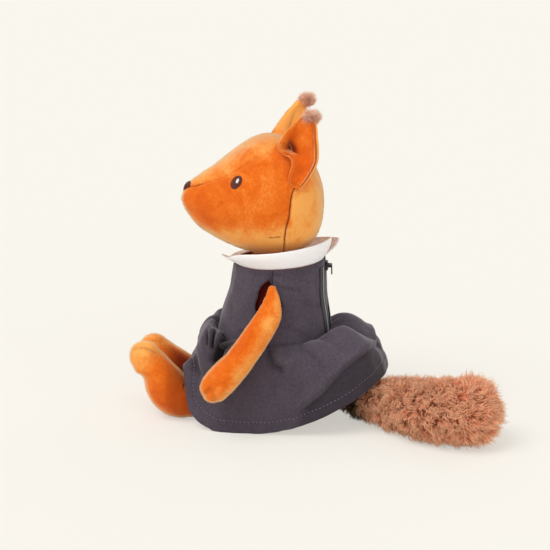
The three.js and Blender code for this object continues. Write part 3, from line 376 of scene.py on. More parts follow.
def build_nap_group():
    """Short pile that lies in patches: colour, roughness and height. It darkens towards a deep colour along
    seams and as painted shade in hollows.
    """
    tree, start, end = new_group(
        "velour_nap", "ShaderNodeTree",
        [("Vector", VECTOR, None), ("Deep", COLOUR, linear(ORANGE_DEEP)),
         ("Middle", COLOUR, linear(ORANGE_MIDDLE)), ("Light", COLOUR, linear(ORANGE_LIGHT)),
         ("Patch Size", VALUE, 0.02), ("Patch Contrast", VALUE, 0.5), ("Tone", VALUE, 0.5),
         ("Seam", VALUE, 0.0)],
        [("Color", COLOUR), ("Roughness", VALUE), ("Height", VALUE)],
    )
    given = start.outputs
    scale = maths(tree, "DIVIDE", 1.0, given["Patch Size"])
    patches = grain(tree, given["Vector"], scale, 3.0, 0.62, 0.6)
    strokes = grain(tree, given["Vector"], maths(tree, "MULTIPLY", scale, 7.0), 3.0, 0.7)
    hairs = grain(tree, given["Vector"], 1600.0, 2.0, 0.7)
    patch = maths(tree, "MULTIPLY", ranged(tree, patches, 0.34, 0.66, -0.5, 0.5), given["Patch Contrast"])
    stroke = ranged(tree, strokes, 0.3, 0.7, -0.11, 0.11)
    hair = ranged(tree, hairs, 0.3, 0.7, -0.14, 0.14)
    change = maths(tree, "ADD", maths(tree, "ADD", patch, stroke), hair)
    level = maths(tree, "ADD", given["Tone"], change)
    lower = mixed_colour(tree, ranged(tree, level, 0.0, 0.5), given["Deep"], given["Middle"])
    upper = mixed_colour(tree, ranged(tree, level, 0.5, 1.0), lower, given["Light"])
    # The deep colour of seams and of painted shade
    dark = node(tree, "ShaderNodeHueSaturation",
                {"Hue": 0.49, "Value": 0.3, "Saturation": 1.1, "Color": given["Deep"]})
    height = maths(tree, "ADD", maths(tree, "MULTIPLY", hairs, 0.7), maths(tree, "MULTIPLY", strokes, 0.6))
    fill_inputs(tree, end, {"Color": mixed_colour(tree, given["Seam"], upper, dark.outputs["Color"]),
                            "Roughness": ranged(tree, level, 0, 1, 0.92, 0.78), "Height": height})
    return tree


def build_weave_group():
    """Plain woven cloth: threads over and under, with slubs and faded places, painted shade in folds and
    painted light on ridges.
    """
    tree, start, end = new_group(
        "plain_weave", "ShaderNodeTree",
        [("Vector", VECTOR, None), ("Thread Pitch", VALUE, 0.0004), ("Warp", COLOUR, linear(CHARCOAL)),
         ("Weft", COLOUR, linear(CHARCOAL_DARK)), ("Fade", VALUE, 0.25), ("Slub", VALUE, 0.15),
         ("Painted Shading", VALUE, 0.0)],
        [("Color", COLOUR), ("Roughness", VALUE), ("Height", VALUE)],
    )
    given = start.outputs
    parts = node(tree, "ShaderNodeSeparateXYZ", {"Vector": given["Vector"]})
    turns = maths(tree, "DIVIDE", math.pi, given["Thread Pitch"])
    across = maths(tree, "SINE", maths(tree, "MULTIPLY", parts.outputs["X"], turns))
    along = maths(tree, "SINE", maths(tree, "MULTIPLY", parts.outputs["Y"], turns))
    over = maths(tree, "MULTIPLY", across, along)
    slubs = grain(tree, given["Vector"], 420.0, 3.0, 0.7)
    cloud = grain(tree, given["Vector"], 38.0, 3.0, 0.6)
    woven = mixed_colour(tree, ranged(tree, over, -1, 1, 0.2, 0.8), given["Weft"], given["Warp"])
    thick = maths(tree, "MULTIPLY", ranged(tree, slubs, 0.25, 0.75, -1, 1), given["Slub"])
    slub = node(tree, "ShaderNodeHueSaturation", {"Value": maths(tree, "ADD", thick, 1.0), "Color": woven})
    fade = maths(tree, "MULTIPLY", ranged(tree, cloud, 0.3, 0.7, -0.5, 0.5), given["Fade"])
    # Painted shade in folds, and painted light on ridges where the value is below 0
    shading_factor = maths(tree, "SUBTRACT", 1.0, maths(tree, "MULTIPLY", given["Painted Shading"], 0.6))
    faded_and_shaded = node(tree, "ShaderNodeHueSaturation",
                 {"Value": maths(tree, "MULTIPLY", maths(tree, "ADD", fade, 1.0), shading_factor),
                  "Color": slub.outputs["Color"]})
    height = maths(tree, "ADD", maths(tree, "ABSOLUTE", over), maths(tree, "MULTIPLY", slubs, 0.8))
    fill_inputs(tree, end, {"Color": faded_and_shaded.outputs["Color"], "Height": height,
                            "Roughness": ranged(tree, slubs, 0.3, 0.7, 0.78, 0.92)})
    return tree


def build_strand_group():
    """Fibres that are darker at the root, lighter at the tip and different from each other."""
    tree, start, end = new_group(
        "strand_colour", "ShaderNodeTree",
        [("Root", COLOUR, None), ("Middle", COLOUR, None), ("Tip", COLOUR, None), ("Along", VALUE, 0.5),
         ("Shade", VALUE, 0.5), ("Spread", VALUE, 0.25), ("Tone", VALUE, 0.5)],
        [("Color", COLOUR)],
    )
    given = start.outputs
    low = mixed_colour(tree, ranged(tree, given["Along"], 0.0, 0.45), given["Root"], given["Middle"])
    high = mixed_colour(tree, ranged(tree, given["Along"], 0.45, 1.0), low, given["Tip"])
    centred = maths(tree, "SUBTRACT", given["Shade"], 0.5)
    strength = maths(tree, "ADD", 1.0, maths(tree, "MULTIPLY", centred, given["Spread"]))
    strength = maths(tree, "MULTIPLY", strength, maths(tree, "ADD", given["Tone"], 0.5))
    varied = node(tree, "ShaderNodeHueSaturation", {"Value": strength, "Color": high})
    tree.links.new(varied.outputs["Color"], end.inputs["Color"])
    return tree


nap_group = build_nap_group()
weave_group = build_weave_group()
strand_group = build_strand_group()


def new_material(name, roughness=0.85, specular=0.3):
    material = bpy.data.materials.new(name)
    material.use_nodes = True
    tree = material.node_tree
    shader = tree.nodes["Principled BSDF"]
    fill_inputs(tree, shader, {"Roughness": roughness, "Specular IOR Level": specular})
    return material, tree, shader


def placed_group(tree, group, inputs):
    return node(tree, "ShaderNodeGroup", inputs, node_tree=group).outputs


def attribute(tree, name, output="Fac"):
    return node(tree, "ShaderNodeAttribute", attribute_name=name).outputs[output]


def object_place(tree):
    return node(tree, "ShaderNodeTexCoord").outputs["Object"]


def bumped(tree, shader, height, distance, strength=1.0):
    bump = node(tree, "ShaderNodeBump", {"Height": height, "Distance": distance, "Strength": strength})
    tree.links.new(bump.outputs["Normal"], shader.inputs["Normal"])


def lit_edge(tree, colour, edge, start, share, out=None):
    """A colour that goes over to the edge colour where the surface turns away from the eye, as painted rim
    light.
    """
    facing = node(tree, "ShaderNodeLayerWeight", {"Blend": 0.5})
    if out is not None:
        turned = node(tree, "ShaderNodeVectorTransform", {"Vector": out}, vector_type="NORMAL",
                      convert_from="OBJECT", convert_to="WORLD")
        tree.links.new(turned.outputs[0], facing.inputs["Normal"])
    turned_away = ranged(tree, facing.outputs["Facing"], start, 1, 0, share)
    return mixed_colour(tree, turned_away, colour, linear(edge))


# Velour whose sheen is over this value also gets painted rim light at its edges.
GLOWING_SHEEN = 0.3


def velour(name, deep, middle, light, patch_size, sheen=0.8, tint=(255, 206, 150), fibres=False):
    material, tree, shader = new_material(name, 0.9, 0.12)
    tone, out = attribute(tree, "tone"), None
    if fibres:
        tone = maths(tree, "ADD", tone, ranged(tree, attribute(tree, "shade"), 0, 1, -0.13, 0.13))
        # Lighter pile tips, partly the fibres' own colour and partly painted rim light
        tone = maths(tree, "ADD", tone, ranged(tree, attribute(tree, "along"), 0, 1, -0.2, 0.42))
        out = attribute(tree, "out", "Vector")
    nap = placed_group(tree, nap_group,
                       {"Vector": object_place(tree), "Deep": linear(deep), "Middle": linear(middle),
                        "Light": linear(light), "Patch Size": patch_size, "Patch Contrast": 0.36,
                        "Tone": tone, "Seam": attribute(tree, "seam")})
    colour = nap["Color"]
    if sheen > GLOWING_SHEEN:
        colour = lit_edge(tree, colour, EDGE_GLOW, 0.45, 0.85, out)
    bumped(tree, shader, nap["Height"], 0.0004, 0.7)
    fill_inputs(tree, shader, {"Base Color": colour, "Roughness": nap["Roughness"], "Sheen Weight": sheen,
                               "Sheen Roughness": 0.45, "Sheen Tint": linear(tint)})
    return material


def cotton(name, warp, weft, pitch, fade, sheen=0.15, bump=0.5, slub=0.15, thin=0.0, edge=None):
    material, tree, shader = new_material(name, 0.85, 0.2)
    place = node(tree, "ShaderNodeUVMap", uv_map="cloth").outputs["UV"]
    weave = placed_group(tree, weave_group,
                         {"Vector": place, "Thread Pitch": pitch, "Warp": linear(warp), "Weft": linear(weft),
                          "Fade": fade, "Slub": slub, "Painted Shading": attribute(tree, "painted_shading")})
    colour = lit_edge(tree, weave["Color"], edge, 0.6, 0.5) if edge else weave["Color"]
    bumped(tree, shader, weave["Height"], 0.00018, bump)
    fill_inputs(tree, shader, {"Base Color": colour, "Roughness": weave["Roughness"],
                               "Subsurface Weight": thin, "Subsurface Radius": (1, 1, 1),
                               "Subsurface Scale": 0.003, "Sheen Weight": sheen, "Sheen Roughness": 0.5})
    return material


def strands(name, root, middle, tip, spread):
    """Fur whose strands read how far along, how light and how shaded they are."""
    material, tree, shader = new_material(name, 0.88, 0.12)
    read = {label: attribute(tree, label.lower()) for label in ("Along", "Shade", "Tone")}
    strand = placed_group(tree, strand_group, {"Root": linear(root), "Middle": linear(middle),
                                               "Tip": linear(tip), "Spread": spread, **read})
    fill_inputs(tree, shader, {"Base Color": strand["Color"], "Sheen Weight": 0.3,
                               "Sheen Tint": linear(FUR_TIP)})
    return material


def thread(name, colour, variation=0.2, sheen=0.3):
    material, tree, shader = new_material(name, 0.55, 0.4)
    twist = grain(tree, object_place(tree), 2600.0)
    shade = node(tree, "ShaderNodeHueSaturation",
                 {"Value": ranged(tree, twist, 0.3, 0.7, 1 - variation, 1 + variation),
                  "Color": linear(colour)})
    bumped(tree, shader, twist, 0.0001, 0.6)
    fill_inputs(tree, shader, {"Base Color": shade.outputs["Color"], "Sheen Weight": sheen})
    return material


def hard(name, colour, roughness, metallic=0.0):
    material, tree, shader = new_material(name, roughness, 0.5)
    wear = grain(tree, object_place(tree), 900.0, 4.0, 0.7)
    shade = node(tree, "ShaderNodeHueSaturation",
                 {"Value": ranged(tree, wear, 0.35, 0.75, 0.85, 1.35), "Color": linear(colour)})
    bumped(tree, shader, wear, 0.00005, 0.4)
    fill_inputs(tree, shader, {"Base Color": shade.outputs["Color"], "Metallic": metallic,
                               "Roughness": ranged(tree, wear, 0.3, 0.7, roughness - 0.08, roughness + 0.15)})
    return material


orange_velour = velour("orange_velour", ORANGE_DEEP, ORANGE_MIDDLE, ORANGE_LIGHT, 0.017)
ear_velour = velour("ear_velour", ORANGE_DEEP, (238, 116, 26), ORANGE_LIGHT, 0.016)
lining_velour = velour("ear_lining_velour", (206, 78, 8), (232, 108, 22), (250, 158, 70), 0.018, sheen=0.5)
# The torso's orange velour, darkened as painted shade for where it shows inside the dress
body_velour = velour("body_velour", (128, 36, 6), (190, 78, 16), (224, 112, 32), 0.02, sheen=0.15)
tail_backing = velour("tail_backing", (136, 80, 62), (170, 104, 82), (196, 128, 102), 0.008, sheen=0.1,
                      tint=FUR_TIP)
# The charcoal cotton gets painted rim light at its edges
charcoal_cotton = cotton("charcoal_cotton", CHARCOAL, CHARCOAL_DARK, 0.00042, 0.22, slub=0.32,
                         edge=(158, 150, 160))
white_cotton = cotton("white_cotton", WHITE_CLOTH, (252, 251, 253), 0.00036, 0.01, sheen=0.1, bump=0.15,
                      slub=0.015, thin=0.15)
orange_pile = velour("orange_pile", ORANGE_DEEP, ORANGE_MIDDLE, ORANGE_LIGHT, 0.017, sheen=0.8, fibres=True)
tail_fur = strands("tail_fur", FUR_ROOT, FUR_MIDDLE, FUR_TIP, 0.36)
tuft_fur = strands("tuft_fur", TUFT_ROOT, (255, 202, 172), TUFT_TIP, 0.55)
brown_thread = thread("brown_thread", BROWN_THREAD, sheen=0.0)
white_thread = thread("white_thread", WHITE_THREAD, 0.04)
rim_thread = thread("rim_thread", (126, 66, 44), 0.1, sheen=0.1)
charcoal_thread = thread("charcoal_thread", (126, 118, 132), 0.15)
shadow_thread = thread("shadow_thread", (62, 54, 64), 0.1, sheen=0.0)
seam_thread = thread("seam_thread", (112, 44, 14), 0.2, sheen=0.0)
tape_weave = thread("tape_weave", ZIP_BLACK, 0.3, sheen=0.05)
# A light grey cord whose colour is a painted highlight along the zip
cord_highlight = thread("cord_highlight", (176, 174, 180), 0.1, sheen=0.1)
coil_plastic = hard("coil_plastic", COIL_GREY, 0.35)
slider_lacquer = hard("slider_lacquer", (40, 38, 42), 0.3, 0.6)

# Trees that repeat fibres, threads and stitches

def geometry_tree(name, inputs):
    return new_group(name, "GeometryNodeTree", [("Geometry", GEOMETRY, None)] + inputs,
                     [("Geometry", GEOMETRY)])


def finish_tree(tree, start, end, copies):
    """Ends a tree: its copies become real and get their finish."""
    real = node(tree, "GeometryNodeRealizeInstances", {"Geometry": copies.outputs[0]})
    finished = node(tree, "GeometryNodeSetMaterial",
                    {"Geometry": real.outputs[0], "Material": start.outputs["Finish"]})
    tree.links.new(finished.outputs[0], end.inputs[0])
    return tree


def named(tree, name, kind):
    made = node(tree, "GeometryNodeInputNamedAttribute", {"Name": name}, data_type=kind)
    return made.outputs["Attribute"]


def random_value(tree, low, high, seed, salt):
    made = node(tree, "FunctionNodeRandomValue",
                {2: low, 3: high, "Seed": maths(tree, "ADD", seed, float(salt))}, data_type="FLOAT")
    return made.outputs[1]


def random_vector(tree, seed, salt):
    made = node(tree, "FunctionNodeRandomValue",
                {0: (-1, -1, -1), 1: (1, 1, 1), "Seed": maths(tree, "ADD", seed, float(salt))},
                data_type="FLOAT_VECTOR")
    return made.outputs[0]


def vector_maths(tree, operation, a, b=None, scale=None):
    given = {key: value for key, value in ((0, a), (1, b), ("Scale", scale)) if value is not None}
    return node(tree, "ShaderNodeVectorMath", given, operation=operation).outputs[0]


def build_fibre_tree():
    """Plants fibres all over a surface, combed along its comb attribute."""
    tree, start, end = geometry_tree("planted_fibres", [
        ("Fibres", "NodeSocketCollection", None), ("Density", VALUE, 1000.0), ("Length", VALUE, 0.001),
        ("Shortest", VALUE, 0.7), ("Width", VALUE, 1.0), ("Comb", VALUE, 0.4), ("Stray", VALUE, 0.3),
        ("Seed", "NodeSocketInt", 1), ("Finish", MATERIAL, None)])
    seed = start.outputs["Seed"]
    density = node(tree, "ShaderNodeMath", {0: named(tree, "pile", "FLOAT"), 1: start.outputs["Density"]},
                   operation="MULTIPLY")
    spread = node(tree, "GeometryNodeDistributePointsOnFaces",
                  {"Mesh": start.outputs["Geometry"], "Density": density.outputs[0], "Seed": seed})
    comb = vector_maths(tree, "SCALE", named(tree, "comb", "FLOAT_VECTOR"), scale=start.outputs["Comb"])
    stray = vector_maths(tree, "SCALE", random_vector(tree, seed, 11), scale=start.outputs["Stray"])
    lean = vector_maths(tree, "ADD", vector_maths(tree, "ADD", spread.outputs["Normal"], comb), stray)
    aligned = node(tree, "FunctionNodeAlignRotationToVector", {"Vector": lean}, axis="Z")
    spin = node(tree, "ShaderNodeCombineXYZ", {"Z": random_value(tree, 0, 2 * math.pi, seed, 5)})
    turned = node(tree, "FunctionNodeRotateRotation",
                  {"Rotation": aligned.outputs["Rotation"]}, rotation_space="LOCAL")
    to_rotation = node(tree, "FunctionNodeEulerToRotation", {"Euler": spin.outputs[0]})
    tree.links.new(to_rotation.outputs[0], turned.inputs["Rotate By"])
    shortest = start.outputs["Shortest"]
    share = random_value(tree, 0, 1, seed, 7)
    rest = maths(tree, "MULTIPLY", maths(tree, "SUBTRACT", 1.0, shortest), share)
    stored_length = maths(tree, "MULTIPLY", maths(tree, "ADD", shortest, rest), start.outputs["Length"])
    long_scale = maths(tree, "MULTIPLY", stored_length, named(tree, "length", "FLOAT"))
    wide_scale = maths(tree, "MULTIPLY", start.outputs["Width"], stored_length)
    scale = node(tree, "ShaderNodeCombineXYZ", {"X": wide_scale, "Y": wide_scale, "Z": long_scale})
    kinds = node(tree, "GeometryNodeCollectionInfo",
                 {"Collection": start.outputs["Fibres"], "Separate Children": True, "Reset Children": True})
    planted = node(tree, "GeometryNodeInstanceOnPoints",
                   {"Points": spread.outputs["Points"], "Instance": kinds.outputs[0], "Pick Instance": True,
                    "Rotation": turned.outputs["Rotation"], "Scale": scale.outputs[0]})
    shaded = node(tree, "GeometryNodeStoreNamedAttribute",
                  {"Geometry": planted.outputs[0], "Name": "shade"}, data_type="FLOAT", domain="INSTANCE")
    tree.links.new(random_value(tree, 0, 1, seed, 9), shaded.inputs["Value"])
    return finish_tree(tree, start, end, shaded)


def build_thread_tree():
    """Turns lines into round threads."""
    tree, start, end = geometry_tree("round_threads", [
        ("Thread Radius", VALUE, 0.0002), ("Thread Sides", "NodeSocketInt", 6),
        ("Finish", MATERIAL, None)])
    line = node(tree, "GeometryNodeMeshToCurve", {"Mesh": start.outputs["Geometry"]})
    ring = node(tree, "GeometryNodeCurvePrimitiveCircle",
                {"Resolution": start.outputs["Thread Sides"], "Radius": start.outputs["Thread Radius"]})
    skin = node(tree, "GeometryNodeCurveToMesh",
                {"Curve": line.outputs[0], "Profile Curve": ring.outputs[0], "Fill Caps": True})
    return finish_tree(tree, start, end, skin)


def build_stitch_tree():
    """Sets stitches of one length along a line, one pitch apart."""
    tree, start, end = geometry_tree("stitch_row", [
        ("Stitch", "NodeSocketObject", None), ("Pitch", VALUE, 0.002),
        ("Stitch Length", VALUE, 0.0014), ("Stitch Width", VALUE, 0.0004),
        ("Finish", MATERIAL, None)])
    line = node(tree, "GeometryNodeMeshToCurve", {"Mesh": start.outputs["Geometry"]})
    even = node(tree, "GeometryNodeCurveToPoints",
                {"Curve": line.outputs[0], "Length": start.outputs["Pitch"]}, mode="LENGTH")
    turned = node(tree, "FunctionNodeAlignRotationToVector", {"Vector": even.outputs["Tangent"]}, axis="Z")
    width = start.outputs["Stitch Width"]
    scale = node(tree, "ShaderNodeCombineXYZ", {"X": width, "Y": width, "Z": start.outputs["Stitch Length"]})
    shape = node(tree, "GeometryNodeObjectInfo", {"Object": start.outputs["Stitch"]})
    planted = node(tree, "GeometryNodeInstanceOnPoints",
                   {"Points": even.outputs["Points"], "Instance": shape.outputs["Geometry"],
                    "Rotation": turned.outputs[0], "Scale": scale.outputs[0]})
    return finish_tree(tree, start, end, planted)


fibre_tree = build_fibre_tree()
thread_tree = build_thread_tree()
stitch_tree = build_stitch_tree()


def grown(name, source, tree, values, material):
    """A plain mesh of what the tree makes from the source object."""
    modifier = source.modifiers.new("grow", "NODES")
    modifier.node_group = tree
    for item in tree.interface.items_tree:
        if item.item_type == "SOCKET" and item.in_out == "INPUT" and item.name in values:
            modifier[item.identifier] = values[item.name]
    graph = bpy.context.evaluated_depsgraph_get()
    mesh = bpy.data.meshes.new_from_object(source.evaluated_get(graph))
    source.modifiers.remove(modifier)
    mesh.name = name
    return finish_object(name, mesh, material)


def line_object(lines):
    """A helper object of loose edges, one row for each line."""
    points, edges = [], []
    for line in lines:
        first = len(points)
        points += [tuple(np.array(p) * MM) for p in line]
        edges += [(first + i, first + i + 1) for i in range(len(line) - 1)]
    mesh = bpy.data.meshes.new("lines")
    mesh.from_pydata(points, edges, [])
    obj = bpy.data.objects.new("lines", mesh)
    bpy.context.scene.collection.objects.link(obj)
    return obj


def remove(obj):
    bpy.data.objects.remove(obj, do_unlink=True)


def threads(name, lines, radius, material):
    source = line_object(lines)
    made = grown(name, source, thread_tree,
                 {"Thread Radius": radius * MM, "Thread Sides": 6, "Finish": material}, material)
    remove(source)
    return made


def stitch_rows(name, lines, pitch, length, width, material):
    source = line_object(lines)
    made = grown(name, source, stitch_tree,
                 {"Stitch": stitch_shape, "Pitch": pitch * MM, "Stitch Length": length * MM,
                  "Stitch Width": width * MM, "Finish": material}, material)
    remove(source)
    return made


def build_stitch_shape():
    """A short grain of thread, one long and one wide."""
    rows, turns = [], np.linspace(0, 2 * math.pi, 6, endpoint=False)
    for z, r in ((-0.5, 0.18), (-0.42, 0.42), (-0.2, 0.5), (0.2, 0.5), (0.42, 0.42), (0.5, 0.18)):
        rows.append([(r * math.cos(a), r * math.sin(a), z) for a in turns])
    return closed_form("stitch_shape", np.array(rows) / MM)


def strand_points(count, length_steps, curl, spread, turns, rng):
    """Centre lines of the strands of one lock, one unit long and growing along z."""
    lines = []
    for _ in range(count):
        root = rng.normal(0, spread * 0.6, 2)
        phase, amount = rng.uniform(0, 2 * math.pi), curl * rng.uniform(0.5, 1.2)
        drift = rng.normal(0, spread * 1.0, 2)
        reach = rng.uniform(0.72, 1.0)
        line = []
        for s in np.linspace(0, 1, length_steps + 1):
            angle = phase + s * turns * 2 * math.pi
            swing = amount * s ** 0.8
            x = root[0] + drift[0] * s + swing * math.cos(angle) - amount * 0.3 * math.cos(phase)
            y = root[1] + drift[1] * s + swing * math.sin(angle) - amount * 0.3 * math.sin(phase)
            line.append((x, y, s * reach - 0.06))
        lines.append(line)
    return lines


def fibre_kinds(name, kinds, count, steps, curl, spread, turns, radius, seed, taper=0.85):
    """A collection of small locks, each with a few tapered strands of three sides."""
    rng = np.random.default_rng(seed)
    collection = bpy.data.collections.new(name)
    bpy.context.scene.collection.children.link(collection)
    for k in range(kinds):
        points, faces, along = [], [], []
        for line in strand_points(count, steps, curl, spread, turns, rng):
            first = len(points)
            twist = rng.uniform(0, 2 * math.pi)
            for i, centre in enumerate(line[:-1]):
                r = radius * (1 - taper * (i / steps) ** 1.5)
                for side in range(3):
                    a = twist + side * 2 * math.pi / 3
                    points.append((centre[0] + r * math.cos(a), centre[1] + r * math.sin(a), centre[2]))
                    along.append(i / steps)
            points.append(line[-1])
            along.append(1.0)
            for i in range(steps - 1):
                for side in range(3):
                    a, b = first + i * 3 + side, first + i * 3 + (side + 1) % 3
                    faces.append((a, b, b + 3, a + 3))
            tip = first + steps * 3
            for side in range(3):
                faces.append((first + (steps - 1) * 3 + side, first + (steps - 1) * 3 + (side + 1) % 3, tip))
        obj = mesh_from(f"{name}_{k}", np.array(points) / MM, faces, None, {"along": np.array(along)})
        bpy.context.scene.collection.objects.unlink(obj)
        collection.objects.link(obj)
    return collection


stitch_shape = build_stitch_shape()
pile_fibre = fibre_kinds("pile_fibre", 4, 1, 1, 0.0, 0.1, 0.0, 0.075, 3)
curly_locks = fibre_kinds("curly_locks", 9, 5, 4, 0.19, 0.09, 1.0, 0.034, 5, taper=0.8)
fine_locks = fibre_kinds("fine_locks", 6, 9, 3, 0.1, 0.13, 0.5, 0.022, 7)


def give_pile(obj, density, name, length, seed, comb=0.5, stray=0.5, fibres=None, shortest=0.6,
              material=None, floor=None):
    """Fibres planted on a copy of an object's surface, as a piece of their own."""
    made = grown(name, obj, fibre_tree,
                 {"Fibres": fibres or pile_fibre, "Density": density * 1e6, "Length": length * MM,
                  "Shortest": shortest, "Width": 1.0, "Comb": comb, "Stray": stray, "Seed": seed,
                  "Finish": material or orange_pile}, material or orange_pile)
    if floor is not None:
        flat = np.empty(len(made.data.vertices) * 3)
        made.data.vertices.foreach_get("co", flat)
        flat = flat.reshape(-1, 3)
        low = floor * MM
        flat[:, 2] = np.where(flat[:, 2] < low, low + (flat[:, 2] - low) * 0.04, flat[:, 2])
        flat[:, 2] = np.maximum(flat[:, 2], 0.02 * MM)
        made.data.vertices.foreach_set("co", flat.ravel())
    return made


def surface_facts(grid, normals, comb, pile=None, length=None, seam=None, tone=None):
    """The attributes that fibres and materials read from a surface."""
    shape = grid.shape[:2]
    return {
        "tone": np.full(shape, 0.5) if tone is None else tone,
        "comb": comb,
        "out": normals,
        "pile": np.ones(shape) if pile is None else pile,
        "length": np.ones(shape) if length is None else length,
        # Darkness along seams, and painted shade in hollows
        "seam": np.zeros(shape) if seam is None else seam,
    }


def pressed_seams(grid, normals, seams, depth, width):
    """Presses seams into a surface. Also returns how near each point is to a seam, from 0 to 1."""
    near = np.zeros(grid.shape[:2])
    for seam in seams:
        near = np.maximum(near, np.exp(-(distance_to_line(grid, seam) / width) ** 2))
    return grid - normals * (near * depth)[..., None], near


def stuffed(grid, held, voxel, slack=0.5, out=0.9, deep=1.2):
    """Fills a bag of this shape until it is taut, held at its seams, and moves the form as the bag moved.

    held holds the lines of the seams, out and deep are the most that a point may move out and in."""
    scene, size = bpy.context.scene, BAG_SCALE
    bag = closed_form("bag", grid * size)
    evener = bag.modifiers.new("even", "REMESH")
    evener.mode, evener.voxel_size = "VOXEL", voxel * size * MM
    even = bpy.data.meshes.new_from_object(bag.evaluated_get(bpy.context.evaluated_depsgraph_get()))
    bag.modifiers.clear()
    bag.data = even
    first = np.array([tuple(v.co) for v in even.vertices]) / size / MM
    inward = np.array([tuple(v.normal) for v in even.vertices])
    even.vertices.foreach_set("co", ((first - inward * slack) * size * MM).ravel())
    seams = bag.vertex_groups.new(name="seams")
    for line in held:
        near = np.nonzero(distance_to_line(first, line) < voxel)[0]
        seams.add([int(i) for i in near], 1.0, "REPLACE")
    cloth = bag.modifiers.new("filling", "CLOTH")
    cloth.settings.mass = BAG_MASS
    cloth.settings.use_pressure = True
    cloth.settings.uniform_pressure_force = BAG_PRESSURE
    cloth.settings.effector_weights.gravity = 0.0
    cloth.settings.vertex_group_mass = "seams"
    for number in range(1, BAG_FRAMES + 1):
        scene.frame_set(number)
    filled = bag.evaluated_get(bpy.context.evaluated_depsgraph_get())
    last = np.array([tuple(v.co) for v in filled.data.vertices]) / size / MM
    bag.modifiers.clear()
    moved = last - first
    tree = KDTree(len(first))
    for i, point in enumerate(first):
        tree.insert(Vector(point), i)
    tree.balance()
    normals = outward_normals(grid)
    rises = np.zeros(grid.shape[:2])
    for place in np.ndindex(rises.shape):
        found = tree.find_n(Vector(grid[place]), 5)
        weights = np.array([1 / (away + 0.4) for _, _, away in found])
        shift = (moved[[i for _, i, _ in found]] * weights[:, None]).sum(0) / weights.sum()
        rises[place] = shift @ normals[place]
    remove(bag)
    scene.frame_set(1)
    return grid + normals * np.clip(rises, -deep, out)[..., None]


def loose_piece(obj, body, nodes=()):
    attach(obj, body)
    if nodes:
        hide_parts(*nodes)


def soft_piece(name, body, nodes):
    obj = bpy.data.objects[name]
    loose_piece(obj, body, nodes)


def mirrored(points):
    return [(-x, y, z) for x, y, z in points]


# Torso, as the dress holds it

CLOTH = 1.2
GAP = 0.3
WAIST, NECKLINE, NECK = 67.5, 126.0, 130.0
TORSO_ROUND = 2.1
SHOULDER = 120
# Centre, half depth, half width and room at the back, where the neck closes
NECK_RING = (9, 15.8, 15.8, 0)


def dress_ring(height):
    share = (height - WAIST) / (NECKLINE - WAIST)
    return 4.7 + 5.0 * share, 43.7 - 6.8 * share, 41.6 - 7.4 * share


def waist_height(degrees):
    return WAIST - 1.5 * np.cos(degrees * DEG)


def neckline_height(degrees):
    return NECKLINE - 2.5 * np.cos(degrees * DEG)


def neckline_lift(degrees):
    """The worn neckline rides up a little at the front."""
    return 1.8 * np.maximum(0, np.cos(degrees * DEG)) ** 2


def plan_point(degrees, centre, half_depth, half_width, height, power):
    degrees = np.asarray(degrees, float)
    x = half_width * signed_power(np.sin(degrees * DEG), 2 / power)
    y = centre - half_depth * signed_power(np.cos(degrees * DEG), 2 / power)
    return np.stack(np.broadcast_arrays(x, y, height), axis=-1)


def dress_point(degrees, height, out=0.0):
    centre, half_depth, half_width = dress_ring(height)
    return plan_point(degrees, centre, half_depth + out, half_width + out, height, TORSO_ROUND)


def worn(points):
    """Draws the chest and the top of the dress in, front and back, as the worn dress sits."""
    p = np.array(points, float)
    z = np.clip(p[..., 2], WAIST, 140)
    centre = dress_ring(z)[0]
    p[..., 1] = centre + (p[..., 1] - centre) * (1 - 0.068 * smooth_step((z - 72) / 34))
    return p


def torso_ring(height):
    centre, half_depth, half_width = dress_ring(max(height, WAIST))
    half_depth, half_width, room = half_depth - CLOTH - GAP, half_width - CLOTH - GAP, 3.0
    if height < WAIST:
        s = smooth_step((WAIST - height) / (WAIST - 34))
        centre += (4 - centre) * s
        half_depth += (43 - half_depth) * s
        half_width += (41.8 - half_width) * s
        room *= 1 - s
    if height < 34:
        bulge = math.sqrt(max(0.0, 1 - ((34 - height) / 34.5) ** 2))
        half_depth = 31 + (half_depth - 31) * bulge
        half_width = 29 + (half_width - 29) * bulge
    return centre, half_depth, half_width, room


def torso_row(turns, ring, height):
    """One ring of points, drawn in at the back to leave room for the zip."""
    centre, depth, width, room = ring
    row = plan_point(turns, centre, depth, width, height, TORSO_ROUND)
    row[:, 1] -= room * np.maximum(0, row[:, 1] - centre) / depth
    return row


def torso():
    turns = np.linspace(0, 360, 72, endpoint=False)
    rows = [torso_row(turns, torso_ring(height), height) for height in np.linspace(0.05, SHOULDER, 60)]
    shoulder = torso_ring(SHOULDER)
    for turn in np.linspace(6, 90, 14):
        closing = 1 - math.cos(turn * DEG)
        ring = [a + (b - a) * closing for a, b in zip(shoulder, NECK_RING)]
        rows.append(torso_row(turns, ring, SHOULDER + 9.6 * math.sin(turn * DEG)))
    grid = worn(np.array(rows))
    normals = outward_normals(grid)
    seams = [[tuple(p) for p in grid[:, 36]], [tuple(p) for p in grid[:, 0]]]
    grid = stuffed(grid, seams, 3.0, slack=0.8, out=0.05)
    grid, near = pressed_seams(grid, normals, seams, 0.6, 1.0)
    grid = grid + normals * (lumps(grid, 14, 3) * 0.25 - 0.25)[..., None]
    grid[..., 2] = np.maximum(grid[..., 2], 0.02)
    comb = np.zeros(grid.shape)
    comb[..., 2] = -1
    # Painted shade inside the armholes, carried as seam darkness
    armhole_painted_shade = (smooth_step((np.abs(grid[..., 0]) - 20) / 6) * smooth_step((grid[..., 2] - 74) / 8)
                  * smooth_step((122 - grid[..., 2]) / 6) * smooth_step((34 - np.abs(grid[..., 1] - 4)) / 8))
    facts = surface_facts(grid, normals, comb, seam=np.maximum(near, armhole_painted_shade))
    closed_form("torso_velour", grid, facts, body_velour)
    soft_piece("torso_velour", "body", ("torso_skin", "torso_stuffing", "seat_pellet_bag"))


# Head

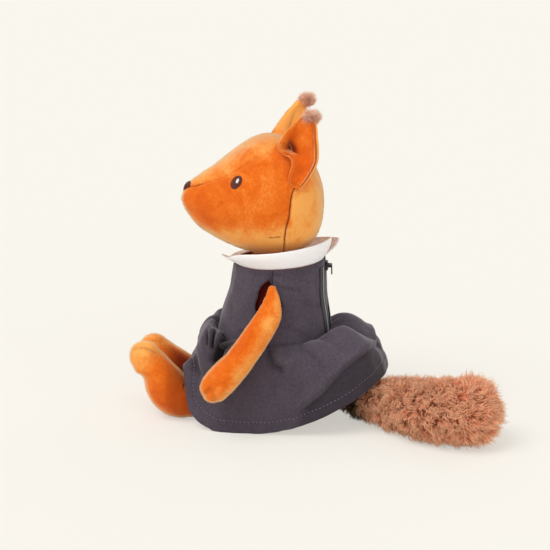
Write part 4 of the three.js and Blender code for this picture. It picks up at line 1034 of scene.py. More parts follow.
NECK_Y, HEAD_TURN = 9.0, 14.0
CROWN_LINE = [(-76, 46), (-73.6, 53), (-68.6, 59.6), (-61, 64.9), (-50, 71.6), (-43.9, 76.2), (-31.6, 85),
              (-19.4, 92.2), (-7, 95), (5, 92), (16, 84.6), (25, 75), (30.5, 62), (33.2, 44)]
JAW_LINE = [(-76, 46), (-73.8, 39.4), (-69.3, 32), (-63.3, 24.8), (-57.3, 20.2), (-45.1, 12.8), (-32, 7),
            (-15, 2.4), (-2, 1.4), (9, 3), (18, 6.5), (26, 13), (31, 24), (33.2, 44)]
CHEEK_LINE = [(-76, 0), (-74, 6.5), (-68, 12.5), (-58, 19.5), (-46, 27), (-30, 36), (-14, 42), (2, 44.5),
              (15, 42), (25, 34.5), (31, 20), (33.2, 0)]
crown_at, jaw_at, cheek_at = line_through(CROWN_LINE), line_through(JAW_LINE), line_through(CHEEK_LINE)
HEAD_ROUND = 2.2
GUSSET_SEAM = [(4.6, -73.2, 56.0), (10.0, -65.3, 58.0), (13.1, -59.3, 60.4), (17.3, -51.2, 63.3),
               (21.4, -44.7, 65.6), (23.3, -40.3, 68.0), (24.7, -35.1, 71.6), (26.0, -30.0, 75.1),
               (27.4, -20.4, 81.2), (27.6, -8.4, 85.5), (29, 0, 86)]
SIDE_SEAM = [(41.9, 7.2, 61.6), (43.2, 5.2, 57.3), (43.7, 4.0, 52.2), (44.1, 3.3, 46.3), (43.5, 2.6, 39.3),
             (42.9, 1.6, 34.7), (41.4, 0.6, 29.8), (38.0, -0.1, 22.1), (31.4, 0.3, 13.5), (20, 1, 5)]
CHIN_DART = [(36.3, -11.2, 22.0), (37.3, -7.2, 22.4), (38.2, -3.5, 23.0)]


def on_head(points):
    """From the line of the head to the toy's place, turned at the neck."""
    p = np.asarray(points, float)
    c, s = math.cos(HEAD_TURN * DEG), math.sin(HEAD_TURN * DEG)
    x, y = p[..., 0] * c - p[..., 1] * s, p[..., 0] * s + p[..., 1] * c + NECK_Y
    return np.stack([x, y, p[..., 2] + NECK], axis=-1)


def turned_with_head(directions):
    return on_head(directions) - on_head(np.zeros(3))


def head_grid(stations, sides):
    turns = np.linspace(0, 2 * math.pi, sides, endpoint=False)
    rows = []
    for i in range(stations):
        along = (i + 0.4) / (stations - 0.2) * math.pi
        y = -21.4 - 54.6 * math.cos(along)
        crown, jaw = crown_at(y), jaw_at(y)
        x = cheek_at(y) * signed_power(np.sin(turns), 2 / HEAD_ROUND)
        z = (crown + jaw) / 2 + (crown - jaw) / 2 * signed_power(np.cos(turns), 2 / HEAD_ROUND)
        rows.append(np.stack([x, np.full(sides, y), z], axis=-1))
    return np.array(rows)


def head_tone(grid):
    """How light each panel is: the nap lies another way on the lighter crown, and the jaw and the back of the
    head are lighter as painted light.
    """
    y, z = grid[..., 1], grid[..., 2]
    seam_line = np.array(GUSSET_SEAM)
    seam_height = np.interp(y, seam_line[:, 1], seam_line[:, 2])
    crown = smooth_step((z - seam_height) / 7 + 0.45) * smooth_step((10 - y) / 14)
    jaw = smooth_step((37 - z + 0.12 * (y + 40)) / 22)
    behind = smooth_step((y - 2.5) / 3)
    cheek = 0.34 + 0.12 * smooth_step((y + 62) / 30)
    tone = cheek + (0.66 - cheek) * crown
    tone = tone + (0.98 - tone) * jaw * (1 - behind)
    tone = tone + (0.95 - tone) * behind * smooth_step((80 - z) / 30)
    return tone


def head_seam_darkness(grid):
    """The gusset's seams are hidden in the nap behind the nose, and the side seams show all the way."""
    y, z = grid[..., 1], grid[..., 2]
    gusset = smooth_step((-52 - y) / 14) * 0.75 + 0.12
    return np.where((y > -12) & (z < 66), 0.95, gusset)


def head():
    grid = head_grid(180, 250)
    normals = outward_normals(grid)
    chin_seam = [(0, y, jaw_at(y)) for y in np.linspace(-75.4, -12, 24)]
    seams = [GUSSET_SEAM, mirrored(GUSSET_SEAM), SIDE_SEAM, mirrored(SIDE_SEAM), chin_seam]
    grid = stuffed(grid, seams, 3.2)
    grid, near = pressed_seams(grid, normals, seams, 0.75, 0.75)
    grid, dart = pressed_seams(grid, normals, [CHIN_DART, mirrored(CHIN_DART)], 0.5, 0.6)
    soft = lumps(grid, 16, 1) * 0.45 + lumps(grid, 6, 2) * 0.16 + lumps(grid, 2.2, 4) * 0.05
    grid = grid + normals * soft[..., None]
    comb = np.zeros(grid.shape)
    comb[..., 1] = 1
    comb[..., 2] = -0.5
    comb += np.stack([lumps(grid, 11, 5), lumps(grid, 11, 6), lumps(grid, 11, 7)], axis=-1) * 1.4
    near = np.maximum(near, dart * 0.8)
    place = on_head(grid)
    seam = np.exp(-((1 - near) / 0.42) ** 2) * (near > 0.05)
    seam = seam * head_seam_darkness(grid)
    facts = surface_facts(place, normals, turned_with_head(comb), 1 - 0.85 * near, None, seam,
                          head_tone(grid))
    made = closed_form("head_velour", place, facts, orange_velour)
    soft_piece("head_velour", "head", ("head_skin", "head_stuffing"))
    pile = give_pile(made, 1.9, "head_pile", length=1.2, seed=21)
    loose_piece(pile, "head")
    skin = BVHTree.FromObject(made, bpy.context.evaluated_depsgraph_get())
    nose_part = [p for p in GUSSET_SEAM if p[1] < -58]
    lines = []
    for line in (SIDE_SEAM, CHIN_DART, nose_part):
        for points in (line, mirrored(line)):
            lines.append([laid_on(skin, p, 0.02) for p in on_head(fine_line(points))])
    rows = stitch_rows("head_seam_stitches", lines, 1.25, 1.35, 0.42, seam_thread)
    loose_piece(rows, "head")
    return made


def fine_line(points):
    """A smooth line through a few points."""
    return uniform_spline(points, 8)


def laid_on(skin, point, lift):
    """The nearest place on a surface, lifted a little."""
    place, normal = skin.find_nearest(Vector(np.array(point) * MM))[:2]
    return np.array(place) / MM + np.array(normal) * lift


def patch_threads(outline, spacing, angle):
    """Pairs of ends of the threads that fill an outline, laid at an angle."""
    c, s = math.cos(angle), math.sin(angle)
    turned = np.array([(x * c + y * s, -x * s + y * c) for x, y in outline])
    rows = []
    low, high = turned[:, 1].min(), turned[:, 1].max()
    count = max(2, int((high - low) / spacing))
    for k in range(count):
        level = low + (k + 0.5) * (high - low) / count
        cuts = []
        for (x0, y0), (x1, y1) in zip(turned, np.roll(turned, -1, axis=0)):
            if (y0 - level) * (y1 - level) < 0:
                cuts.append(x0 + (x1 - x0) * (level - y0) / (y1 - y0))
        if len(cuts) >= 2:
            rows.append([(x * c - level * s, x * s + level * c) for x in (min(cuts), max(cuts))])
    return rows


def satin_patch(name, outline, centre, facing, surface, rise, radius, angle, material):
    """Satin stitch over a padded outline on the head: threads side by side that follow the surface."""
    out = unit(turned_with_head(np.array(facing)))
    up = unit(np.array([0, 0, 1.0]) - out * out[2])
    sideways = np.cross(up, out)
    middle = on_head(np.array(centre))

    def on_surface(x, y, lift):
        start = middle + sideways * x + up * y + out * 14
        hit = surface.ray_cast(Vector(start * MM), Vector(-out))
        point = np.array(hit[0]) / MM if hit[0] else start - out * 14
        return point + np.array(out) * lift

    half = max(np.hypot(*np.array(outline).T))
    lines = []
    for (x0, y0), (x1, y1) in patch_threads(outline, radius * 1.7, angle):
        line = []
        for t in np.linspace(0, 1, 9):
            bow = math.sqrt(max(0.0, 1 - (2 * t - 1) ** 2))
            x, y = x0 + (x1 - x0) * t, y0 + (y1 - y0) * t
            fall = 1 - 0.5 * ((x * x + y * y) / (half * half))
            line.append(on_surface(x, y, -0.2 + rise * bow * fall))
        lines.append(line)
    made = threads(name, lines, radius, material)
    return made, on_surface


def ellipse(half_width, half_height, lean, centre=(0, 0), count=28):
    points = []
    for a in np.linspace(0, 2 * math.pi, count, endpoint=False):
        x, y = half_width * math.cos(a), half_height * math.sin(a)
        points.append((x * math.cos(lean) - y * math.sin(lean) + centre[0],
                       x * math.sin(lean) + y * math.cos(lean) + centre[1]))
    return points


EYE_Y, EYE_Z = -34.2, 62.6
EYE_FACING = (0.72, -0.53, 0.44)
NOSE_FACING = (0, -0.74, 0.67)
EYE_LEAN = 32 * DEG


def face(surface):
    tree = BVHTree.FromObject(surface, bpy.context.evaluated_depsgraph_get())
    eye_x = float(cheek_at(EYE_Y)) * 0.83
    for side, label in ((1, "left"), (-1, "right")):
        centre = (side * eye_x, EYE_Y, EYE_Z)
        facing = (side * EYE_FACING[0], EYE_FACING[1], EYE_FACING[2])
        lean = -EYE_LEAN * side
        eye, on_eye = satin_patch(f"eye_{label}_stitches", ellipse(3.9, 5.3, lean), centre, facing, tree,
                                  1.0, 0.27, lean, brown_thread)
        loose_piece(eye, "head", (f"eye_{label}",))
        rim_points = [on_eye(x, y, 0.0) for x, y in ellipse(4.1, 5.5, lean, count=44)]
        rim = threads(f"eye_{label}_rim", [rim_points + rim_points[:1]], 0.2, rim_thread)
        loose_piece(rim, "head")
        glint, _ = satin_patch(f"eye_{label}_glint", ellipse(1.15, 1.9, lean * 0.6, (side * 1.3, 1.0)),
                               centre, facing, tree, 1.9, 0.22, 0, white_thread)
        loose_piece(glint, "head", (f"eye_glint_{label}",))
    half = [(0, -4.6), (2.6, -3.2), (4.6, -1.4), (6.2, 0.6), (6.5, 2.2), (5.2, 3.5), (2.6, 4.2)]
    outline = half + [(0, 4.1)] + [(-x, y) for x, y in half[:0:-1]]
    nose, _ = satin_patch("nose_stitches", outline, (0, -70.6, 55.6), NOSE_FACING, tree, 1.6, 0.3, 90 * DEG,
                          brown_thread)
    loose_piece(nose, "head", ("nose",))


# Ears

EAR_FRONT = SmoothPath([(43, 4.1, 61.5), (44, 2.1, 68.4), (43.5, 4.0, 74.6), (42, 5.0, 80.4), (39, 3.2, 84.0),
                        (35, -0.8, 85.2), (32, -3.6, 87.2), (30.6, -4.4, 91.0), (30.5, -1.6, 96.5),
                        (31, 4, 103), (32, 11, 110), (33.5, 16.5, 115)])
EAR_BACK = SmoothPath([(46.5, 9.5, 60), (48, 14, 66), (49, 18.5, 73), (49, 22.4, 81), (48, 23.2, 89),
                       (45.5, 22.8, 98), (41.5, 23, 105.5), (37.5, 21.5, 112), (34.2, 18, 115.8)])
EAR_FACING = unit((0.82, -0.55, 0.12))
EAR_CUP, EAR_PIT, EAR_ROLL = 7.0, 6.0, 2.6
EAR_PIT_PLACE = (0.19, 0.57)
FAR_EAR_LEAN = 3.2


def ear_grid(inset, rows=60, cols=44):
    grid = []
    for v in np.linspace(0, 1, rows):
        height = inset + (1 - 1.4 * inset) * v
        front, back = EAR_FRONT.at(height), EAR_BACK.at(height)
        cup = EAR_CUP * math.sin(min(1, height * 1.1 + 0.06) * math.pi) ** 0.8
        across = inset + (1 - 2 * inset) * np.linspace(0, 1, cols)
        depth = cup * np.sin(across * math.pi)
        depth += EAR_PIT * np.exp(-((across - EAR_PIT_PLACE[0]) / 0.08) ** 2
                                  - ((height - EAR_PIT_PLACE[1]) / 0.1) ** 2)
        depth -= EAR_ROLL * np.exp(-((across - 0.06) / 0.06) ** 2) * smooth_step((height - 0.4) / 0.1)
        depth += 1.2 * np.exp(-((across - 0.85) / 0.07) ** 2)
        grid.append(front + np.outer(across, back - front) - np.outer(depth, EAR_FACING))
    return np.array(grid)


def ears():
    for side, label in ((1, "left"), (-1, "right")):
        for layer, inset, low, high, material, slot in (
                ("outer", 0.0, -1.5, 0.15, ear_velour, "velour"),
                ("inner", 0.05, 0.2, 1.5, lining_velour, "velour_lining")):
            grid = ear_grid(inset)
            normals = grid_normals(grid, False)
            rows, cols = grid.shape[:2]
            v, u = np.meshgrid(np.linspace(0, 1, rows), np.linspace(0, 1, cols), indexing="ij")
            edge = np.minimum(np.minimum(u, 1 - u) * 8, np.minimum(1 - v, v + 0.3) * 8)
            plump = np.sqrt(np.clip(edge, 0.06, 1))
            grid = grid + normals * (lumps(grid, 7, 8) * 0.3)[..., None]
            middle = (low + high) / 2
            near = 0.45 * np.exp(-((1 - u) / 0.07 - 1) ** 2 * 5)
            pit = np.exp(-((u - EAR_PIT_PLACE[0] - 0.035) / 0.14) ** 2
                         - ((v - EAR_PIT_PLACE[1] + 0.015) / 0.115) ** 2)
            # Painted light on the rolled front edge
            tone = 0.44 + 0.3 * np.exp(-(u / 0.1) ** 2) * smooth_step((v - 0.4) / 0.15)
            if layer == "inner":
                # Painted shade in the pit
                tone = tone - 0.3 * pit
                near = np.maximum(near, np.clip(1.7 * pit, 0, 1.0))
            else:
                # Painted light on the back of the near ear and over the far ear, and painted shade along a
                # crease
                tone = tone + 0.5 * smooth_step(v / 0.3) * (1 if side < 0 else smooth_step((u - 0.55) / 0.2))
                near = np.maximum(near, 0.3 * np.exp(-((u - 0.34) / 0.05) ** 2) * smooth_step((v - 0.4) / 0.1)
                                  * smooth_step((0.9 - v) / 0.1))
            if side < 0:
                grid[..., 1] += FAR_EAR_LEAN * smooth_step((grid[..., 2] - 84) / 14)
            flat = grid.reshape(-1, 3)
            flip = np.array([side, 1, 1])
            place = on_head(flat * flip)
            turned_normals = turned_with_head(normals.reshape(-1, 3) * flip)
            facts = {"comb": np.tile(turned_with_head(np.array([0, 0, 1.0])), (rows * cols, 1)),
                     "pile": np.ones(rows * cols), "length": np.ones(rows * cols), "seam": near.ravel(),
                     "tone": tone.ravel(), "out": turned_normals}
            lows = middle + (low - middle) * plump.ravel()
            highs = middle + (high - middle) * plump.ravel()
            made = sheet_form(f"ear_{label}_{layer}", place, grid_faces(rows, cols), flat[:, 1:],
                              lows, highs, material, turned_normals, facts)
            nodes = (f"ear_{label}_back",) if layer == "outer" else (f"ear_{label}_lining",)
            loose_piece(made, "head", nodes)
            pile = give_pile(made, 1.5, f"ear_{label}_{layer}_pile", length=1.0, seed=31 + side)
            loose_piece(pile, "head")
        tuft(side, label)


TUFT_SHIFT = {1: (0.0, -1.6, -2.0), -1: (0.0, 4.4, 2.0)}


def tuft(side, label):
    """Short soft hair that is caught in the tip of the ear."""
    turns = np.linspace(0, 2 * math.pi, 20, endpoint=False)
    rows = []
    centre = np.array([35.4, 21.6, 112.4]) + TUFT_SHIFT[side]
    for lift in np.linspace(-0.9, 0.9, 11):
        r = math.sqrt(1 - lift * lift)
        rows.append([centre + np.array([2.8 * r * math.cos(a), 4.4 * r * math.sin(a), 3.6 * lift])
                     for a in turns])
    grid = np.array(rows) * np.array([side, 1, 1])
    place = on_head(grid)
    normals = outward_normals(place)
    comb = np.tile(unit((0, 0.25, 0.6)), grid.shape[:2] + (1,))
    pile = np.clip((grid[..., 2] - centre[2]) / 2.4 + 0.75, 0.25, 1)
    length = np.clip((grid[..., 2] - centre[2]) / 5 + 0.85, 0.5, 1.1)
    facts = surface_facts(place, normals, comb, pile, length)
    core = closed_form(f"ear_{label}_core", place, facts, tuft_fur)
    loose_piece(core, "head", (f"ear_{label}_tuft",))
    hair = give_pile(core, 3.6, f"ear_{label}_hair", length=6.6, seed=41 + side, comb=0.4, stray=0.7,
                     fibres=fine_locks, material=tuft_fur, shortest=0.4)
    loose_piece(hair, "head")


# Arms and legs

ARM_PATH = [(40.6, 9.3, 113.5), (42.2, 9.6, 105), (46.6, 7.2, 93), (54.2, -3.6, 75), (59.6, -12.5, 62),
            (64, -22.4, 50.6), (66.2, -31.2, 41)]
ARM_WIDTHS = [3.4, 6.6, 10, 11, 11.4, 12.4, 11.8]
ARM_THICKNESSES = [2.2, 3.4, 5.6, 8.6, 10.2, 11.8, 11.6]
LEG_PATH = [(22, -45.4, 13.2), (22.6, -57.5, 15.6), (24, -70.4, 18.4), (25.4, -80.6, 30.5), (26.4, -89, 42.8),
            (27, -94, 50.6)]
LEG_HEIGHTS = [12.6, 15.9, 18.2, 16.6, 14, 12.6]
LEG_WIDTHS = [12.6, 14.6, 15.4, 15.2, 14, 12.6]


def limb(name, grid, dents, seams, seed, tone, creases, floor=None, recess=None, shade=None):
    """A stuffed arm or leg with its pile. It rides the body of its own name."""
    normals = outward_normals(grid)
    if recess is not None:
        grid = grid - normals * recess(grid, normals)[..., None]
        normals = outward_normals(grid)
    grid = stuffed(grid, seams, 2.4)
    if floor is not None:
        grid[..., 2] = np.maximum(grid[..., 2], floor)
    grid, near = pressed_seams(grid, normals, seams, 0.6, 0.7)
    # Creases and dents darken as painted shade
    for crease, depth, width in creases:
        grid, pressed = pressed_seams(grid, normals, [crease], depth, width)
        near = np.maximum(near, pressed * 0.6)
    for centre, radius, depth in dents:
        centre = grid.reshape(-1, 3)[np.argmin(np.linalg.norm(grid - np.array(centre), axis=-1))]
        away = np.linalg.norm(grid - centre, axis=-1)
        near = np.maximum(near, 0.3 * np.exp(-(away / radius / 0.6) ** 2))
        grid = grid - normals * (np.exp(-(away / radius) ** 2) * depth)[..., None]
    soft = lumps(grid, 12, seed) * 0.4 + lumps(grid, 4.5, seed + 1) * 0.15
    grid = grid + normals * soft[..., None]
    if floor is not None:
        grid[..., 2] = np.maximum(grid[..., 2], floor)
    comb = np.gradient(grid, axis=0)
    comb = unit(comb) + np.stack([lumps(grid, 9, seed + k) for k in (2, 3, 4)], axis=-1)
    pile = (1 - 0.8 * near)
    if floor is not None:
        pile = pile * (grid[..., 2] > floor + 1.0)
    # The seam darkness also carries painted shade
    seam = near * 0.6 if shade is None else np.maximum(near * 0.6, shade)
    facts = surface_facts(grid, normals, comb, pile, None, seam, tone)
    made = closed_form(f"{name}_velour", grid, facts, orange_velour)
    soft_piece(f"{name}_velour", name, (f"{name}_skin", f"{name}_stuffing"))
    fuzz = give_pile(made, 1.7, f"{name}_pile", length=1.35, seed=50 + seed, floor=floor)
    loose_piece(fuzz, name)


def arms():
    grid = tube_rings(ARM_PATH, ARM_WIDTHS, ARM_THICKNESSES, (1, 0, 0), 64, 84)
    dents = [((73.4, -34.1, 53.0), 1.3, 1.8), ((77.1, -31.7, 44.1), 3.0, 1.2),
             ((72.0, -41.0, 36.0), 2.4, 2.4), ((72.0, -28.0, 30.0), 2.2, 2.2),
             ((66.0, -43.5, 45.5), 2.4, 1.2), ((73.8, -19.5, 37.5), 2.4, 1.2)]
    creases = [([(76.6, -33.5, 44.0), (76.0, -36.5, 39.0), (73.5, -39.5, 36.0)], 0.9, 1.7),
               ([(76.8, -31.0, 42.5), (75.5, -29.0, 36.5), (73.0, -28.0, 32.0)], 0.8, 1.6)]
    along = np.linspace(0, 1, grid.shape[0])[:, None]
    # Painted light: lighter on the back of the arm, and lighter towards the hand
    tone = 0.36 + 0.38 * smooth_step((grid[..., 1] - np.interp(grid[..., 2], [30, 115], [-30, 10])) / 10)
    tone = tone + 0.16 * smooth_step((along - 0.68) / 0.2)
    seams = [[tuple(p) for p in grid[4:-4, 14]], [tuple(p) for p in grid[4:-4, 42]]]
    for side, label in ((1, "left"), (-1, "right")):
        flip = np.array([side, 1, 1])
        limb(f"arm_{label}", grid * flip, [(np.array(c) * flip, r, d) for c, r, d in dents],
             [np.array(s) * flip for s in seams], 61 + side, tone,
             [(np.array(c) * flip, d, w) for c, d, w in creases])


def turned_about_x(p, angle):
    c, s = math.cos(angle), math.sin(angle)
    return np.array([p[0], p[1] * c - p[2] * s, p[1] * s + p[2] * c])


def turned_about_z(p, angle):
    c, s = math.cos(angle), math.sin(angle)
    return np.array([p[0] * c - p[1] * s, p[0] * s + p[1] * c, p[2]])


def as_right_leg(point, past_heel):
    """The right leg lies a little outwards, with its foot leaning back."""
    hip, heel = np.array(LEG_PATH[0]), np.array(LEG_PATH[2])
    point = np.array(point)
    if past_heel:
        point = turned_about_x((point - heel) * 0.9, 12 * DEG) + heel
    return turned_about_z(point - hip, -10 * DEG) + hip


TOE_CREASE = [(31, -105.5, 52.5), (33.4, -103.5, 55.4), (33.7, -101.0, 58.1), (34.6, -97.5, 59.6),
              (34.3, -93.6, 60.0), (34.4, -89.6, 59.0), (33.3, -85.9, 57.1), (31.5, -83.6, 55.0)]


def legs():
    right_path = np.array([as_right_leg(point, i > 2) for i, point in enumerate(LEG_PATH)])
    for side, label, path in ((1, "left", np.array(LEG_PATH)), (-1, "right", right_path)):
        flip = np.array([side, 1, 1])
        grid = tube_rings(path, LEG_HEIGHTS, LEG_WIDTHS, (1, 0, 0), 64, 72) * flip
        toe = path[-1] * flip
        lean = unit(path[-1] - path[-3]) * flip
        sole = unit(np.cross(lean, (side, 0, 0))) * side
        sole = sole if sole[1] < 0 else -sole

        def under_toe(points, normals):
            down = (toe - points) @ lean
            bared = smooth_step((down - 5.5) / 6.5) * (1 - smooth_step((down - 12) / 15))
            return 3.6 * bared * np.clip(normals @ sole, 0, 1) ** 0.8

        across = np.array([side, 0, 0])
        crease = fine_line(TOE_CREASE)
        inner = crease * np.array([-1, 1, 1]) + np.array([2 * 26.7, 0, 0])
        if side < 0:
            crease = np.array([as_right_leg(p, True) for p in crease])
            inner = np.array([as_right_leg(p, True) for p in inner])
        step = [toe - lean * 10.5 + across * math.sin(a) * 12.8 + sole * math.cos(a) * 12.2
                for a in np.linspace(-0.9, 0.9, 11)]
        rise = grid[..., 2]
        # Painted light and shade: darker low down by the skirt, lighter up towards the toes and at the front,
        # and painted shade between the legs
        tone = 0.3 + 0.3 * smooth_step((rise - 22) / 30) + 0.25 * smooth_step((rise - 52) / 8)
        tone = tone + 0.15 * smooth_step((-82 - grid[..., 1]) / 14)
        inward = outward_normals(grid)[..., 0] * -side
        shade = 0.98 * smooth_step((grid[..., 1] + 94) / 22) * smooth_step(inward * 1.3 + 0.25)
        shade = np.maximum(shade, 0.5 * smooth_step((grid[..., 1] + 82) / 14) * smooth_step((58 - rise) / 20))
        limb(f"leg_{label}", grid, [], [step], 71 + side, tone,
             [(crease * flip, 1.5, 1.2), (inner * flip, 1.2, 1.2)], floor=0.35, recess=under_toe, shade=shade)


# Tail

TAIL_PATH = [(0, 54.98, 15), (6, 70, 15.3), (14, 86, 17.2), (24.5, 104, 19.7), (38, 121, 22), (46, 138, 24.4),
             (47.5, 157, 25)]
TAIL_RADII = [9, 10.5, 15.8, 20, 22.4, 24.9, 25.5]
FUR_DEPTH = [2.5, 2.5, 3.2, 4.0, 4.4, 4.6, 4.6]


def tail():
    radii = [r - d for r, d in zip(TAIL_RADII, FUR_DEPTH)]
    grid = tube_rings(TAIL_PATH, radii, radii, (0, 0, 1), 56, 80)
    grid = stuffed(grid, [[tuple(p) for p in grid[8:-8, 28]]], 3.0)
    normals = outward_normals(grid)
    soft = lumps(grid, 12, 9) * 1.2 + lumps(grid, 4, 10) * 0.6
    grid = grid + normals * soft[..., None]
    grid[..., 2] = np.maximum(grid[..., 2], 0.6)
    comb = unit(np.gradient(grid, axis=0))
    comb = comb * 0.9 + np.stack([lumps(grid, 7, k) for k in (12, 13, 14)], axis=-1) * 2.0
    along = np.linspace(0, 1, grid.shape[0])[:, None] * np.ones(grid.shape[1])
    pile = np.clip((along - 0.06) / 0.12, 0.15, 1) * np.clip((grid[..., 2] - 0.6) / 3 + 0.35, 0.35, 1)
    length = np.clip((along - 0.04) / 0.16, 0.3, 1) * (1 + 0.22 * smooth_step((along - 0.86) / 0.1))
    length = length * (1 - 0.2 * smooth_step((grid[..., 2] - 34) / 10) * smooth_step((0.95 - along) / 0.1))
    # Painted shade darkens the root under the skirt, and painted light brightens the end of the tail
    root = 1 - smooth_step((along - 0.28) / 0.08)
    facts = surface_facts(grid, normals, comb, pile, length, 0.95 * root,
                          0.47 + 0.11 * smooth_step((along - 0.72) / 0.2) - 0.88 * root)
    made = closed_form("tail_backing", grid, facts, tail_backing)
    soft_piece("tail_backing", "tail", ("tail_skin", "tail_stuffing"))
    for k, seed in enumerate((81, 82, 83)):
        fur = give_pile(made, 0.098, f"tail_fur_{k + 1}", length=13.0, seed=seed, comb=0.8, stray=0.45,
                        fibres=curly_locks, material=tail_fur, shortest=0.6, floor=0.5)
        loose_piece(fur, "tail")


# Dress

def inside(point, outline):
    x, y = point
    hit = False
    for (x0, y0), (x1, y1) in zip(outline, outline[1:] + outline[:1]):
        if (y0 > y) != (y1 > y) and x < (x1 - x0) * (y - y0) / (y1 - y0) + x0:
            hit = not hit
    return hit


ARMHOLE_Y, ARMHOLE_Z, ARMHOLE_RADIUS, ARMHOLE_TOP = 6.0, 98.0, 11.0, 118.5


def armhole_outline():
    """The armhole's teardrop, as (y, z) points."""
    rise = ARMHOLE_TOP - ARMHOLE_Z
    tangent = math.asin(ARMHOLE_RADIUS / rise)
    points = [(ARMHOLE_Y + ARMHOLE_RADIUS * math.cos(a), ARMHOLE_Z + ARMHOLE_RADIUS * math.sin(a))
              for a in np.linspace(math.pi - tangent, 2 * math.pi + tangent, 36)]
    first, last, top = np.array(points[0]), np.array(points[-1]), np.array((ARMHOLE_Y, ARMHOLE_TOP))
    rising = [tuple(last + (top - last) * t) for t in np.linspace(0, 1, 10)[1:]]
    falling = [tuple(top + (first - top) * t + np.array((-2.2, 1.3)) * math.sin(t * math.pi))
               for t in np.linspace(0, 1, 10)[1:-1]]
    return points + rising + falling


# The radius at which the bodice is laid out flat, and those of its seams and its cloth
PATTERN_RADIUS = 42.0
SEAM_RADIUS = 43
# Heights between which a panel is filled with points
PANEL_LOW, PANEL_HIGH = 60, 130
# Half the opening at the back, and half the width of the dress at the neck
BACK_OPENING, NECK_HALF_WIDTH = 3.5, 34.2


def to_flat(degrees, height):
    return degrees * DEG * PATTERN_RADIUS, height


def panel_mesh(start, stop, armholes):
    """A bodice panel cut with its part of the armholes, as flat points and triangles.

    Each armhole has its middle angle, and 1 or -1 for the way in which it turns towards the back."""
    spacing = 2.2
    steps = int(abs(stop - start) * DEG * PATTERN_RADIUS / 1.5)
    degrees = np.linspace(start, stop, steps)
    bottom = [to_flat(d, float(waist_height(d))) for d in degrees]
    top = [to_flat(d, float(neckline_height(d) + neckline_lift(d))) for d in degrees]
    shares = np.linspace(0, 1, 34)[1:-1]
    right = [(bottom[-1][0], bottom[-1][1] + (top[-1][1] - bottom[-1][1]) * t) for t in shares]
    left = [(top[0][0], top[0][1] + (bottom[0][1] - top[0][1]) * t) for t in shares]
    outline = bottom + right + top[::-1] + left
    holes = []
    for middle, turn in armholes:
        hole = []
        for y, z in armhole_outline():
            centre, half_depth, _ = dress_ring(z)
            share = signed_power((y - centre) / half_depth, TORSO_ROUND / 2)
            lean = math.degrees(math.asin(max(-1, min(1, share))))
            hole.append(to_flat(middle + turn * lean, z))
        holes.append(hole)
    points, edges = [], []
    for loop in [outline] + holes:
        first = len(points)
        points += loop
        edges += [(first + i, first + (i + 1) % len(loop)) for i in range(len(loop))]
    border = list(points)

    def on_cloth(point):
        return inside(point, outline) and not any(inside(point, hole) for hole in holes)

    x_low, x_high = outline[0][0], bottom[-1][0]
    for i, x in enumerate(np.arange(x_low + spacing * 0.6, x_high - spacing * 0.4, spacing)):
        for z in np.arange(PANEL_LOW + (i % 2) * spacing / 2, PANEL_HIGH, spacing):
            near = min((x - a) ** 2 + (z - b) ** 2 for a, b in border)
            if near > (spacing * 0.55) ** 2 and on_cloth((x, z)):
                points.append((x, z))
    result = geometry.delaunay_2d_cdt([Vector(p) for p in points], edges, [], 0, 1e-5)
    flat = [tuple(p) for p in result[0]]
    faces = []
    for face_points in result[2]:
        middle = tuple(np.mean([flat[i] for i in face_points], axis=0))
        if on_cloth(middle):
            faces.append(tuple(face_points))
    flat = np.array(flat)
    surface = dress_point(flat[:, 0] / PATTERN_RADIUS / DEG, flat[:, 1])
    return flat, surface, faces


